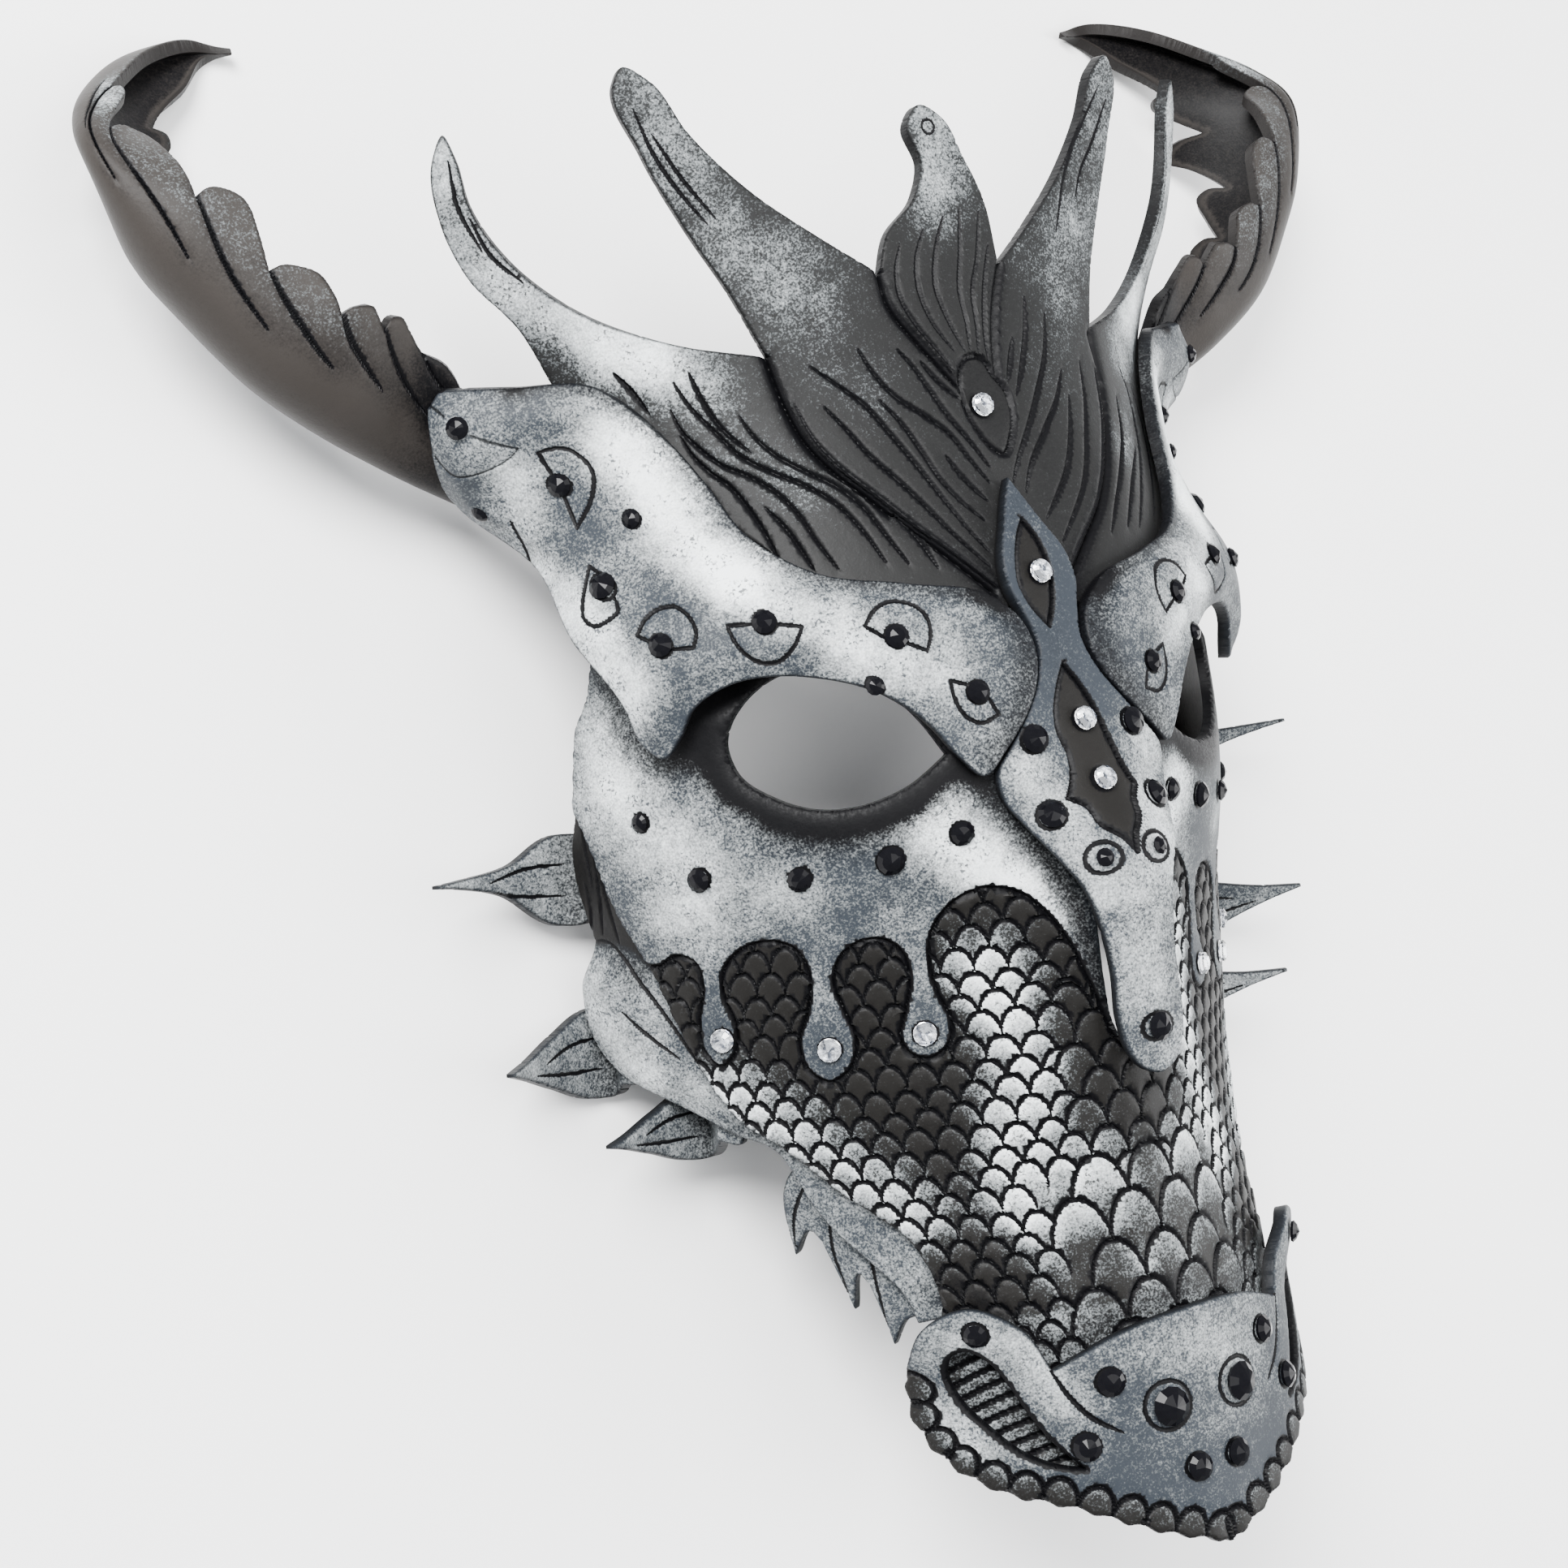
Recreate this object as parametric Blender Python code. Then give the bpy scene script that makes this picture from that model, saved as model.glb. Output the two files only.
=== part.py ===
"""Dragon mask of moulded and carved leather, lying on its back with the face up.

Every leather piece is cut flat from an outline, like a pattern on a hide, and is then
wrapped over a form. A flat pattern uses u across the face and v up the face, in
millimetres from the bridge between the eyes. The forms give the moulded shape.
The mask frame has X to the right, Y up the face and Z out of the face. At the end the
whole mask is tilted about X, so that it rests on its horns and its jaw.
"""
import bpy
import bmesh
import numpy as np
from math import ceil, floor, pi, radians
from mathutils import Matrix, Vector

# Driving sizes, in metres
LEATHER = 0.0030          # thickness of the face, crest, brows, strap and snout plate
SPIKE_LEATHER = 0.0024    # thickness of the jaw spikes and frills
HORN_LEATHER = 0.0030     # thickness of the horn strips
LAYER_GAP = 0.0005        # clearance between two layers of leather
STONE_GAP = 0.0003        # clearance under a stone
SIDE_GAP = 0.0012         # clearance between the strap and the brows beside it
BROW_LIFT = 0.0000        # extra height of the brows over the face
BROW_DROP = 0.0024        # how far a brow's rim rolls down
EAR_FLARE = 0.0090        # how far the brow's ear flares outwards over the horn
BROW_ROLL = 0.0070        # width of the rolled rim
TONGUE_RISE = 0.0050      # how far the strap's tongue stands off the muzzle
NOSE_SLOT_HALF = 0.0050   # half width of the slot behind the tongue
LOBE_FLARE = 0.0035       # how far the nostril lobes lift off the muzzle
LEAF_BULGE = 0.0030       # how far the jaw leaf swells outwards
HORN_WIDTH = 0.0400       # width of the horn strip in its flat pattern
SPIKE_CURL = 0.0040       # how far the crest's outer spikes curl back
RIGHT_SPIKE_RISE = 0.0070 # how much longer the right outer spike is than the left one
SPIKE_SAG = 0.0030        # how far a jaw spike dips under the jaw before it rises
SCALLOP_DEPTH = 0.0013    # depth of the half-round scales along the snout's rim
STONE_SMALL = 0.0020      # radius of the stones
STONE_MEDIUM = 0.0025
STONE_LARGE = 0.0030
STONE_NOSE = 0.0042
STONE_HEIGHT = 0.75       # height of a stone as a share of its radius
CELL = (9.5, 11.6)        # spacing of the pattern's grid across and up, in millimetres
EDGE_STEP = 6.3           # longest edge along an outline, in millimetres
MERGE = 1.1               # shortest edge kept in a flat pattern, in millimetres
SLAB = 10.0               # thickness of the flat slab before it is wrapped
SCALLOPS = 12             # half-round scales on each half of the snout's rim

# Where the mask rests
REST_TILT = 8.8           # degrees about X
REST_LIFT = 0.0966        # metres
REST_BACK = -0.0081       # metres

MM = 0.001

# Sections up the face, in millimetres:
# height, radius across, depth of the middle, height of the middle ridge, its half width
FACE_SECTIONS = (
    (-175, 56, 12.0, 0.0, 34),
    (-150, 58, 8.0, 1.0, 34),
    (-121, 62, 2.5, 4.0, 34),
    (-90, 74, -8.0, 10.5, 32),
    (-60, 84, -11.0, 13.5, 26),
    (-34, 86, -8.5, 11.0, 21),
    (-24, 87, -6.5, 8.5, 19),
    (-12, 87, -4.8, 4.9, 17),
    (2, 87, -4.5, 0.2, 16),
    (20, 87, -6.5, -2.5, 15),
    (34, 87, -10.0, -3.0, 15),
    (54, 90, -16.5, -2.5, 15),
    (66, 95, -21.0, 0.0, 16),
    (85, 106, -26.0, 0.0, 18),
    (110, 145, -30.5, 0.0, 20),
    (150, 230, -34.0, 0.0, 20),
)
# height, radius across, depth of the middle
BROW_SECTIONS = (
    (-12, 97, -3.2),
    (6, 104, -2.3),
    (31, 110, -5.0),
    (45, 98, -9.3),
    (60, 95, -14.8),
    (72, 102, -19.5),
    (83, 122, -24.0),
    (95, 138, -28.0),
)
# Horn rails in the mask frame, in millimetres, from root to tip: the strip is folded
# along its spine, and both of its rims are lobed
HORN_FRONT = (
    (-92, 92, -73), (-103, 97, -76), (-112.5, 102, -73), (-122, 105.5, -71.5),
    (-135, 116, -75), (-146, 131.5, -79), (-157, 145, -89), (-154.5, 154, -97),
    (-147.5, 160.7, -105), (-138, 167, -113), (-123.5, 171, -119), (-115, 169, -120),
)
HORN_SPINE = (
    (-92, 67, -87), (-106, 75, -86.5), (-121.5, 84.5, -81.5), (-136, 95, -80.5),
    (-148, 110, -82.5), (-156.5, 123.5, -85), (-162, 141, -90), (-160, 150.5, -99),
    (-152, 159, -110), (-141, 165.5, -118), (-126.5, 169, -122.5), (-115, 169, -120),
)
HORN_REAR = (
    (-90, 74, -94), (-104, 80, -95), (-118, 86, -95.5), (-131, 97, -97),
    (-143, 111, -99.5), (-150.5, 124, -102.5), (-149.5, 137, -106), (-144, 147, -109.5),
    (-137.5, 155, -114), (-130, 160.5, -117.5), (-121.5, 166, -120.5), (-115, 168, -120.5),
)
# Notches along a horn's rim, as a share of its length, and the height of each lobe between them
HORN_NOTCHES = (9, 18, 27, 36, 45.5, 57, 68)
HORN_LOBES = (2.4, 2.8, 4.2, 5.4, 7.6, 4.0)

# Outlines of the left half as (u, v), with a third value of 1 at a sharp corner
FACE_EDGE = (
    (0, 46), (-30, 45), (-58, 43), (-84, 38), (-104, 31), (-112, 16), (-118, -3, 1),
    (-113, -14), (-108, -25), (-99, -39), (-90, -59), (-82, -73), (-73, -80), (-63, -90),
    (-51, -102), (-49, -113), (-53, -126), (-50, -138), (-40, -147), (-22, -156), (0, -165),
)
EYE_HOLE = (
    (-76, 7), (-71, 15.5), (-63, 20.5), (-53, 21.5), (-42.5, 16.5), (-35, 8), (-30, -0.5, 1),
    (-39, -6), (-49.5, -8.7), (-58, -8.4), (-67.5, -4.7), (-74.5, 1),
)
NOSE_SLOT = ((0, -23), (-0.8, -29), (-1, -40), (-1, -52), (-0.8, -62), (0, -68))
CREST_BASE = (
    (0, 31), (-13, 25), (-33, 29), (-54, 34), (-71, 46), (-79, 60), (-86, 74), (-91, 86, 1),
)
CREST_OUTER_SPIKE = (
    (-95, 98), (-103.5, 110), (-107, 120), (-107, 133), (-104, 138), (-102, 133),
    (-100.5, 123.5), (-95, 113), (-84, 101.5), (-63.5, 91), (-45, 86, 1),
)
CREST_INNER_SPIKE = (
    (-50, 100), (-57, 114.5), (-63.7, 130), (-67.5, 145), (-65.5, 148), (-60, 145),
    (-53, 133.5), (-42.5, 121.5), (-28.5, 110), (-16, 101, 1),
)
CREST_MIDDLE_SPIKE = (
    (-12.3, 109), (-3.2, 117), (0, 124), (-2, 132), (2, 136.5), (8, 133.5), (12, 125),
    (15.5, 116),
)
STRAP_HALF_WIDTHS = (
    (54, 0), (50, 2.2), (44, 5.2), (37, 8.6), (31, 9.2), (25, 7.4), (18, 6.0), (12, 7.8),
    (5, 12.4), (-1, 17.3), (-6, 21.0), (-11, 20.6), (-17, 17.2), (-24, 12.6), (-31, 8.8),
    (-40, 6.8), (-50, 6.0), (-60, 6.2), (-67, 5.0), (-70.5, 2.8), (-71.8, 0),
)
BROW_INNER = (31, 25, 18, 12, 5, -1)
BROW_OUTLINE = (
    (-33, 36.5), (-51.5, 41.5), (-64, 51.5), (-69.5, 63), (-75, 72.5), (-83.5, 84),
    (-100.5, 86.5), (-115, 88.5, 1), (-118.5, 85.5, 1), (-120, 79), (-123.5, 62), (-112, 49),
    (-106, 33), (-98, 17), (-96, 9.5), (-91.5, 6), (-87, 10), (-83.5, 15.2), (-74, 20),
    (-64, 20.5), (-56, 19), (-45, 14.5), (-36, 6.5), (-30.5, -1.5), (-26, -6),
)
JAW_OUTLINE = (
    (-112, -2, 1), (-120, -1.5, 1), (-124, -15), (-121, -26), (-118, -33.5, 1),
    (-120.5, -44), (-118.5, -55), (-112, -62.5), (-103, -68), (-86, -77.5), (-76, -82),
    (-73.5, -87), (-71.5, -93), (-68.5, -98.5), (-62, -106.5), (-57.5, -113),
    (-56.5, -119, 1), (-45, -117, 1), (-43, -110), (-46, -100), (-57, -87), (-66, -76),
    (-75, -69), (-83, -57), (-92, -38), (-101, -24), (-106, -13),
)
FRILL_OUTLINE = (
    (-70, -82, 1), (-79, -90), (-85, -107, 1), (-76, -101), (-75, -103, 1), (-74, -118, 1),
    (-68, -110), (-67, -112, 1), (-66, -125, 1), (-60, -119), (-52, -118, 1), (-50, -108),
    (-58, -97),
)
PLATE_TOP = (
    (0, -122.5), (-15, -124), (-30.5, -129.5, 1), (-34.5, -120.5), (-43, -115), (-52.5, -118),
    (-59, -127),
)
PLATE_RIM = (
    (-59, -127), (-60.5, -135.5), (-56.5, -145), (-46, -153), (-31, -158.5), (-17, -165.5),
    (0, -172.5),
)
NOSTRIL = (
    (-49, -124.5), (-45.8, -123.5), (-42.5, -126), (-39.5, -131.5), (-37, -137.5),
    (-32.7, -145), (-28, -150.5, 1), (-33.5, -149), (-39, -146), (-45, -140), (-49.5, -134),
    (-51, -128.5),
)
# Jaw spikes: root, tip and root half width, in the mask frame, in millimetres
SPIKES = (
    ((-78, -20, -85.5), (-119.5, -14, -71), 10),
    ((-76, -59, -85.5), (-112, -55, -64), 10),
    ((-61, -77, -72), (-96, -73, -55), 8),
)
# Stones: u, v, radius, clear
CHEEK_STONES = (
    (-98, -7, STONE_SMALL, 0), (-85, -20, STONE_MEDIUM, 0), (-63, -22, STONE_MEDIUM, 0),
    (-44, -20.5, STONE_LARGE, 0), (-29, -17, STONE_MEDIUM, 0),
    (-82, -55, STONE_MEDIUM, 1), (-59, -59, STONE_MEDIUM, 1), (-39.5, -58, STONE_MEDIUM, 1),
)
STRAP_STONES = ((-12.5, -0.5, STONE_LARGE, 0), (-12, -16, STONE_LARGE, 0), (-5, -26, STONE_SMALL, 0))
STRAP_MIDDLE_STONES = (
    (0, 33, STONE_MEDIUM, 1), (0, 1.5, STONE_MEDIUM, 1), (0, -11, STONE_MEDIUM, 1),
    (0, -62, STONE_LARGE, 0),
)
CREST_STONE = (0, 70.5, STONE_MEDIUM, 1)
PLATE_STONES = (
    (-9, -141, STONE_NOSE, 0), (-5, -155, STONE_LARGE, 0), (-20, -133.5, STONE_LARGE, 0),
    (-27, -145.8, STONE_LARGE, 0), (-43, -120, STONE_MEDIUM, 0),
)


def stations(table, column, at):
    """Smooth value of a table's column at each height."""
    x = np.array([row[0] for row in table], float)
    y = np.array([row[column] for row in table], float)
    step = np.diff(x)
    slope = np.diff(y) / step
    tangent = np.zeros(len(x))
    tangent[1:-1] = (slope[:-1] * step[1:] + slope[1:] * step[:-1]) / (step[1:] + step[:-1])
    tangent[0] = slope[0]
    tangent[-1] = slope[-1]
    at = np.clip(np.asarray(at, float), x[0], x[-1])
    i = np.clip(np.searchsorted(x, at) - 1, 0, len(x) - 2)
    h = step[i]
    t = (at - x[i]) / h
    a = (2 * t ** 3 - 3 * t ** 2 + 1) * y[i] + (t ** 3 - 2 * t ** 2 + t) * h * tangent[i]
    b = (3 * t ** 2 - 2 * t ** 3) * y[i + 1] + (t ** 3 - t ** 2) * h * tangent[i + 1]
    return a + b


def ease(t):
    """Smooth step from 0 to 1."""
    t = np.clip(t, 0.0, 1.0)
    return t * t * (3 - 2 * t)


def bell(t):
    return np.exp(-t * t)


def face_base(u, v):
    """Point of the face form: a section of a cylinder with a ridge down its middle."""
    radius = stations(FACE_SECTIONS, 1, v)
    angle = u / radius
    x = radius * np.sin(angle)
    z = stations(FACE_SECTIONS, 2, v) - radius * (1 - np.cos(angle))
    z = z + stations(FACE_SECTIONS, 3, v) * bell(x / stations(FACE_SECTIONS, 4, v))
    return np.stack([x, v, z], -1)


def brow_base(u, v):
    """Point of the brow form, which swells out over the eye."""
    radius = stations(BROW_SECTIONS, 1, v)
    angle = u / radius
    z = stations(BROW_SECTIONS, 2, v) - radius * (1 - np.cos(angle))
    return np.stack([radius * np.sin(angle), v + 0 * u, z], -1)


def raised(base, u, v, height):
    """Points at a height over a form, along its normal."""
    u = np.asarray(u, float)
    v = np.asarray(v, float)
    point = base(u, v)
    d = 0.4
    across = base(u + d, v) - base(u - d, v)
    along = base(u, v + d) - base(u, v - d)
    normal = np.cross(across, along)
    normal = normal / np.linalg.norm(normal, axis=-1, keepdims=True)
    return point + normal * np.asarray(height, float)[..., None]


def mm(size):
    return size / MM


def layer_step():
    return mm(LEATHER + LAYER_GAP)


def face_form(u, v, t):
    """The face, which steps down one layer under the crest."""
    drop = layer_step() * ease((v - 12) / 10)
    return raised(face_base, u, v, mm(LEATHER) * (t - 1) - drop)


def crest_form(u, v, t):
    """The crest, whose outer spikes curl back."""
    curl = mm(SPIKE_CURL) * ease((v - 108) / 34) * ease((np.abs(u) - 90) / 14)
    return raised(face_base, u, v, mm(LEATHER) * (t - 1) - curl)


def outline_distance(u, v, loop):
    """Distance from each point to a closed outline."""
    p = np.stack([u, v], -1)
    best = np.full(len(u), 1e9)
    for a, b in zip(loop, loop[1:] + loop[:1]):
        a = np.array(a[:2])
        d = np.array(b[:2]) - a
        s = np.clip(((p - a) @ d) / max(d @ d, 1e-9), 0, 1)
        best = np.minimum(best, np.linalg.norm(p - a - s[:, None] * d, axis=1))
    return best


def brow_form(u, v, t):
    """The brow, swollen over the eye, with its rim rolled down onto the layer under it."""
    side = np.abs(u)
    roll = 1 - ease(outline_distance(u, v, smooth_loop(brow_outline(), 4.0)) / mm(BROW_ROLL))
    ear = ease((side - 86) / 34) * ease((v - 48) / 28) * (1 - 0.5 * ease((v - 76) / 14))
    height = mm(BROW_LIFT) - 3.0 - mm(BROW_DROP) * roll + mm(EAR_FLARE) * ear
    inner = raised(brow_base, u, v, height)
    outer = raised(brow_base, u, v, height + mm(LEATHER) * t)
    radius = stations(FACE_SECTIONS, 1, inner[:, 1])
    across = np.clip(inner[:, 0] / radius, -0.93, 0.93)
    under = face_base(radius * np.arcsin(across), inner[:, 1])
    room = under[:, 2] + 2 * mm(LAYER_GAP) / np.sqrt(1 - across ** 2) - inner[:, 2]
    room = np.where(np.abs(inner[:, 0] / radius) < 0.93, np.maximum(room, 0), 0)
    outer[:, 2] = outer[:, 2] + room
    return outer


def strap_form(u, v, t):
    """The nose strap, which lies on the face and ends in a free tongue."""
    rise = mm(TONGUE_RISE) * ease((-9 - v) / 20)
    return raised(face_base, u, v, mm(LAYER_GAP) + mm(LEATHER) * t + rise)


def plate_form(u, v, t):
    """The snout plate, with lobes that flare away from the muzzle."""
    flare = mm(LOBE_FLARE) * ease((v + 132) / 16) * ease((np.abs(u) - 28) / 12)
    return raised(face_base, u, v, mm(LAYER_GAP) + mm(LEATHER) * t + flare)


def jaw_form(u, v, t):
    """The jaw strip, one layer behind the face, with a swollen leaf."""
    side = np.abs(u)
    leaf = ease((side - 100 - 0.47 * (v + 38)) / 15) * ease((v + 76) / 14) * ease((-34 - v) / 9)
    height = mm(LEATHER) * (t - 1) - layer_step() + mm(LEAF_BULGE) * leaf
    return raised(face_base, u, v, height)


def frill_form(u, v, t):
    """The frill behind the jaw strip."""
    height = mm(SPIKE_LEATHER) * (t - 1) - 2 * layer_step()
    return raised(face_base, u, v, height)


def smooth_rail(points, s):
    """Points along a smooth curve through the rail's points, for s from 0 to 1."""
    rows = [(i / (len(points) - 1),) + tuple(p) for i, p in enumerate(points)]
    return np.stack([stations(rows, k, s) for k in (1, 2, 3)], -1)


def horn_middle(s, w):
    """Middle of the horn strip, a parabola through the front rim, the spine and the rear rim."""
    front = smooth_rail(HORN_FRONT, s / 100)
    spine = smooth_rail(HORN_SPINE, s / 100)
    rear = smooth_rail(HORN_REAR, s / 100)
    w = (w / mm(HORN_WIDTH))[:, None]
    return front * (1 - w) * (1 - 2 * w) + spine * 4 * w * (1 - w) + rear * w * (2 * w - 1)


def horn_form(s, w, t):
    """The horn strip: s runs from root to tip (0 to 100), w from the front rim to the rear."""
    at = np.clip(s, 0.5, 96)
    along = horn_middle(at + 0.4, w) - horn_middle(at - 0.4, w)
    across = horn_middle(at, w + 0.4) - horn_middle(at, w - 0.4)
    normal = np.cross(across, along)
    normal = normal / np.linalg.norm(normal, axis=-1, keepdims=True)
    return horn_middle(s, w) + normal * (mm(HORN_LEATHER) * (t - 0.5))[:, None]


def smooth_loop(points, step):
    """Closed outline through the points, as short straight edges; corners stay sharp."""
    count = len(points)
    place = [np.array(p[:2], float) for p in points]
    sharp = [len(p) > 2 and p[2] == 1 for p in points]

    def tangent(i, towards):
        before = place[i] - place[i - 1]
        after = place[(i + 1) % count] - place[i]
        if sharp[i]:
            side = after if towards > 0 else before
            return side / np.linalg.norm(side)
        a = np.linalg.norm(before)
        b = np.linalg.norm(after)
        return (before / a * b + after / b * a) / (a + b)

    loop = []
    for i in range(count):
        j = (i + 1) % count
        length = np.linalg.norm(place[j] - place[i])
        cuts = max(1, ceil(length / step))
        for k in range(cuts):
            t = k / cuts
            h = (2 * t ** 3 - 3 * t ** 2 + 1, 3 * t ** 2 - 2 * t ** 3)
            g = (t ** 3 - 2 * t ** 2 + t, t ** 3 - t ** 2)
            point = h[0] * place[i] + h[1] * place[j]
            point = point + length * (g[0] * tangent(i, 1) + g[1] * tangent(j, -1))
            loop.append((float(point[0]), float(point[1])))
    return loop


def open_path(points, step):
    """Evenly spaced points along a smooth open line."""
    run = np.linalg.norm(np.diff(np.array(points, float), axis=0), axis=1)
    run = np.concatenate([[0.0], np.cumsum(run)])
    rows = [(at,) + tuple(p) for at, p in zip(run, points)]
    at = np.linspace(0, run[-1], 1 + ceil(run[-1] / step))
    return np.stack([stations(rows, 1, at), stations(rows, 2, at)], -1)


def both_halves(half):
    """Whole outline from its left half, which starts and ends on the middle line."""
    right = [(-p[0],) + tuple(p[1:]) for p in half[1:-1]]
    return list(half) + right[::-1]


def mirrored(points):
    return [(-p[0],) + tuple(p[1:]) for p in points]


def strap_half(v):
    return float(stations(sorted(STRAP_HALF_WIDTHS), 1, v))


def brow_outline():
    inner = [(-strap_half(v) - mm(SIDE_GAP) * (1 + ease((8 - v) / 9)), v) for v in BROW_INNER]
    inner[0] = (inner[0][0] - 4, inner[0][1])
    return inner[::-1] + list(BROW_OUTLINE)


def crest_outline():
    """The crest's base, two spikes a side and the hooked middle spike."""
    longer = []
    for u, v, *corner in CREST_OUTER_SPIKE:
        rise = float(ease((v - 100) / 38)) * mm(RIGHT_SPIKE_RISE)
        longer.append((u - 0.3 * rise, v + rise, *corner))
    left = list(CREST_BASE) + list(CREST_OUTER_SPIKE) + list(CREST_INNER_SPIKE)
    right = mirrored(list(CREST_BASE[1:]) + longer + list(CREST_INNER_SPIKE))
    return left + list(CREST_MIDDLE_SPIKE) + right[::-1]


def strap_outline():
    left = [(-half, v) for v, half in STRAP_HALF_WIDTHS]
    left[0] = left[0] + (1,)
    return both_halves(left)


def slot_outline():
    left = [(u * mm(NOSE_SLOT_HALF), v) for u, v in NOSE_SLOT]
    return both_halves(left)


def plate_outline():
    """Snout plate: a smooth top edge and a rim of half-round scales."""
    path = open_path(PLATE_RIM, 0.5)
    teeth = SCALLOPS * 3
    rim = []
    for k in range(teeth):
        i = 1 + int((len(path) - 2) * (k + 0.5) / teeth)
        step = path[i] - path[i - 1]
        outward = np.array((step[1], -step[0])) / np.linalg.norm(step)
        push = mm(SCALLOP_DEPTH) * (0.5 if k % 3 == 1 else -0.5)
        u, v = path[i] + outward * push
        rim.append((float(u), float(v), 1))
    left = list(PLATE_TOP[:-1]) + [PLATE_TOP[-1] + (1,)] + rim + [PLATE_RIM[-1]]
    return both_halves(left)


def horn_outline():
    """Flat pattern of a horn: a long leaf with six lobes along both rims."""
    width = mm(HORN_WIDTH)
    front = [(0, 0, 1), (HORN_NOTCHES[0], 0, 1)]
    for a, b, high in zip(HORN_NOTCHES[:-1], HORN_NOTCHES[1:], HORN_LOBES):
        front.append((a + 0.35 * (b - a), -0.6 * high))
        front.append((a + 0.72 * (b - a), -high))
        front.append((a + 0.96 * (b - a), -0.62 * high))
        front.append((b, 0, 1))
    front.extend([(84, 0), (99, 0.3 * width, 1)])
    rear = [(p[0], width - p[1]) + tuple(p[2:]) for p in front]
    return front + rear[::-1]


def flat_curve(name, loops, depth):
    """Closed 2D curve through the loops, filled and extruded, as a mesh object."""
    data = bpy.data.curves.new(name, "CURVE")
    data.dimensions = "2D"
    data.fill_mode = "BOTH"
    data.extrude = depth
    for loop in loops:
        spline = data.splines.new("POLY")
        spline.points.add(len(loop) - 1)
        for point, place in zip(spline.points, loop):
            point.co = (place[0], place[1], 0, 1)
        spline.use_cyclic_u = True
    obj = bpy.data.objects.new(name, data)
    CUTTERS.objects.link(obj)
    bpy.context.view_layer.update()
    graph = bpy.context.evaluated_depsgraph_get()
    mesh = bpy.data.meshes.new_from_object(obj.evaluated_get(graph))
    bm = bmesh.new()
    bm.from_mesh(mesh)
    bmesh.ops.remove_doubles(bm, verts=bm.verts[:], dist=0.0001)
    bmesh.ops.recalc_face_normals(bm, faces=bm.faces[:])
    bm.to_mesh(mesh)
    bm.free()
    bpy.data.objects.remove(obj)
    solid = bpy.data.objects.new(name, mesh)
    CUTTERS.objects.link(solid)
    solid.hide_render = True
    solid.display_type = "WIRE"
    return solid


def flat_slab(name, low, high, cell):
    """Flat slab with a grid on both faces, whose lines lie on multiples of the cell."""
    start = [floor(low[k] / cell[k]) - 1 for k in (0, 1)]
    stop = [ceil(high[k] / cell[k]) + 1 for k in (0, 1)]
    count = [stop[k] - start[k] for k in (0, 1)]
    middle = [(start[k] + stop[k]) / 2 * cell[k] for k in (0, 1)]
    bm = bmesh.new()
    place = Matrix.Translation((middle[0], middle[1], 0))
    place = place @ Matrix.Diagonal((count[0] * cell[0], count[1] * cell[1], 1, 1))
    bmesh.ops.create_grid(bm, x_segments=count[0], y_segments=count[1], size=0.5, matrix=place)
    result = bmesh.ops.extrude_face_region(bm, geom=bm.faces[:], use_keep_orig=True)
    top = [g for g in result["geom"] if isinstance(g, bmesh.types.BMVert)]
    bmesh.ops.translate(bm, verts=top, vec=(0, 0, SLAB))
    bmesh.ops.recalc_face_normals(bm, faces=bm.faces[:])
    mesh = bpy.data.meshes.new(name)
    bm.to_mesh(mesh)
    bm.free()
    obj = bpy.data.objects.new(name, mesh)
    PARTS.objects.link(obj)
    return obj


def leather(name, loops, form, material, cell=CELL, step=EDGE_STEP, least=MERGE):
    """Cut a piece from the flat, then wrap it over its form."""
    fine = [smooth_loop(loop, step) for loop in loops]
    low = [min(p[k] for p in fine[0]) for k in (0, 1)]
    high = [max(p[k] for p in fine[0]) for k in (0, 1)]
    obj = flat_slab(name, low, high, cell)
    cutter = flat_curve(name + "_pattern", fine, 2 * SLAB)
    cut = obj.modifiers.new("cut", "BOOLEAN")
    cut.operation = "INTERSECT"
    cut.solver = "EXACT"
    cut.object = cutter
    bpy.context.view_layer.update()
    graph = bpy.context.evaluated_depsgraph_get()
    mesh = bpy.data.meshes.new_from_object(obj.evaluated_get(graph))
    obj.modifiers.clear()
    obj.data = mesh
    bpy.data.objects.remove(cutter)
    bm = bmesh.new()
    bm.from_mesh(mesh)
    bmesh.ops.remove_doubles(bm, verts=bm.verts[:], dist=least)
    bmesh.ops.triangulate(bm, faces=bm.faces[:])
    bm.to_mesh(mesh)
    bm.free()
    count = len(mesh.vertices)
    flat = np.empty(count * 3)
    mesh.vertices.foreach_get("co", flat)
    flat = flat.reshape(-1, 3)
    place = form(flat[:, 0], flat[:, 1], flat[:, 2] / SLAB)
    mesh.vertices.foreach_set("co", (place * MM).ravel())
    mesh.update()
    finish(obj, material)
    return obj


def finish(obj, material):
    obj.data.materials.clear()
    obj.data.materials.append(material)
    obj.data.shade_smooth()
    obj.data.set_sharp_from_angle(angle=radians(40))


def mirror_copy(obj, name):
    """Right-hand copy of a left-hand piece."""
    mesh = obj.data.copy()
    mesh.transform(Matrix.Diagonal((-1, 1, 1, 1)))
    mesh.flip_normals()
    copy = bpy.data.objects.new(name, mesh)
    PARTS.objects.link(copy)
    return copy


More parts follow.
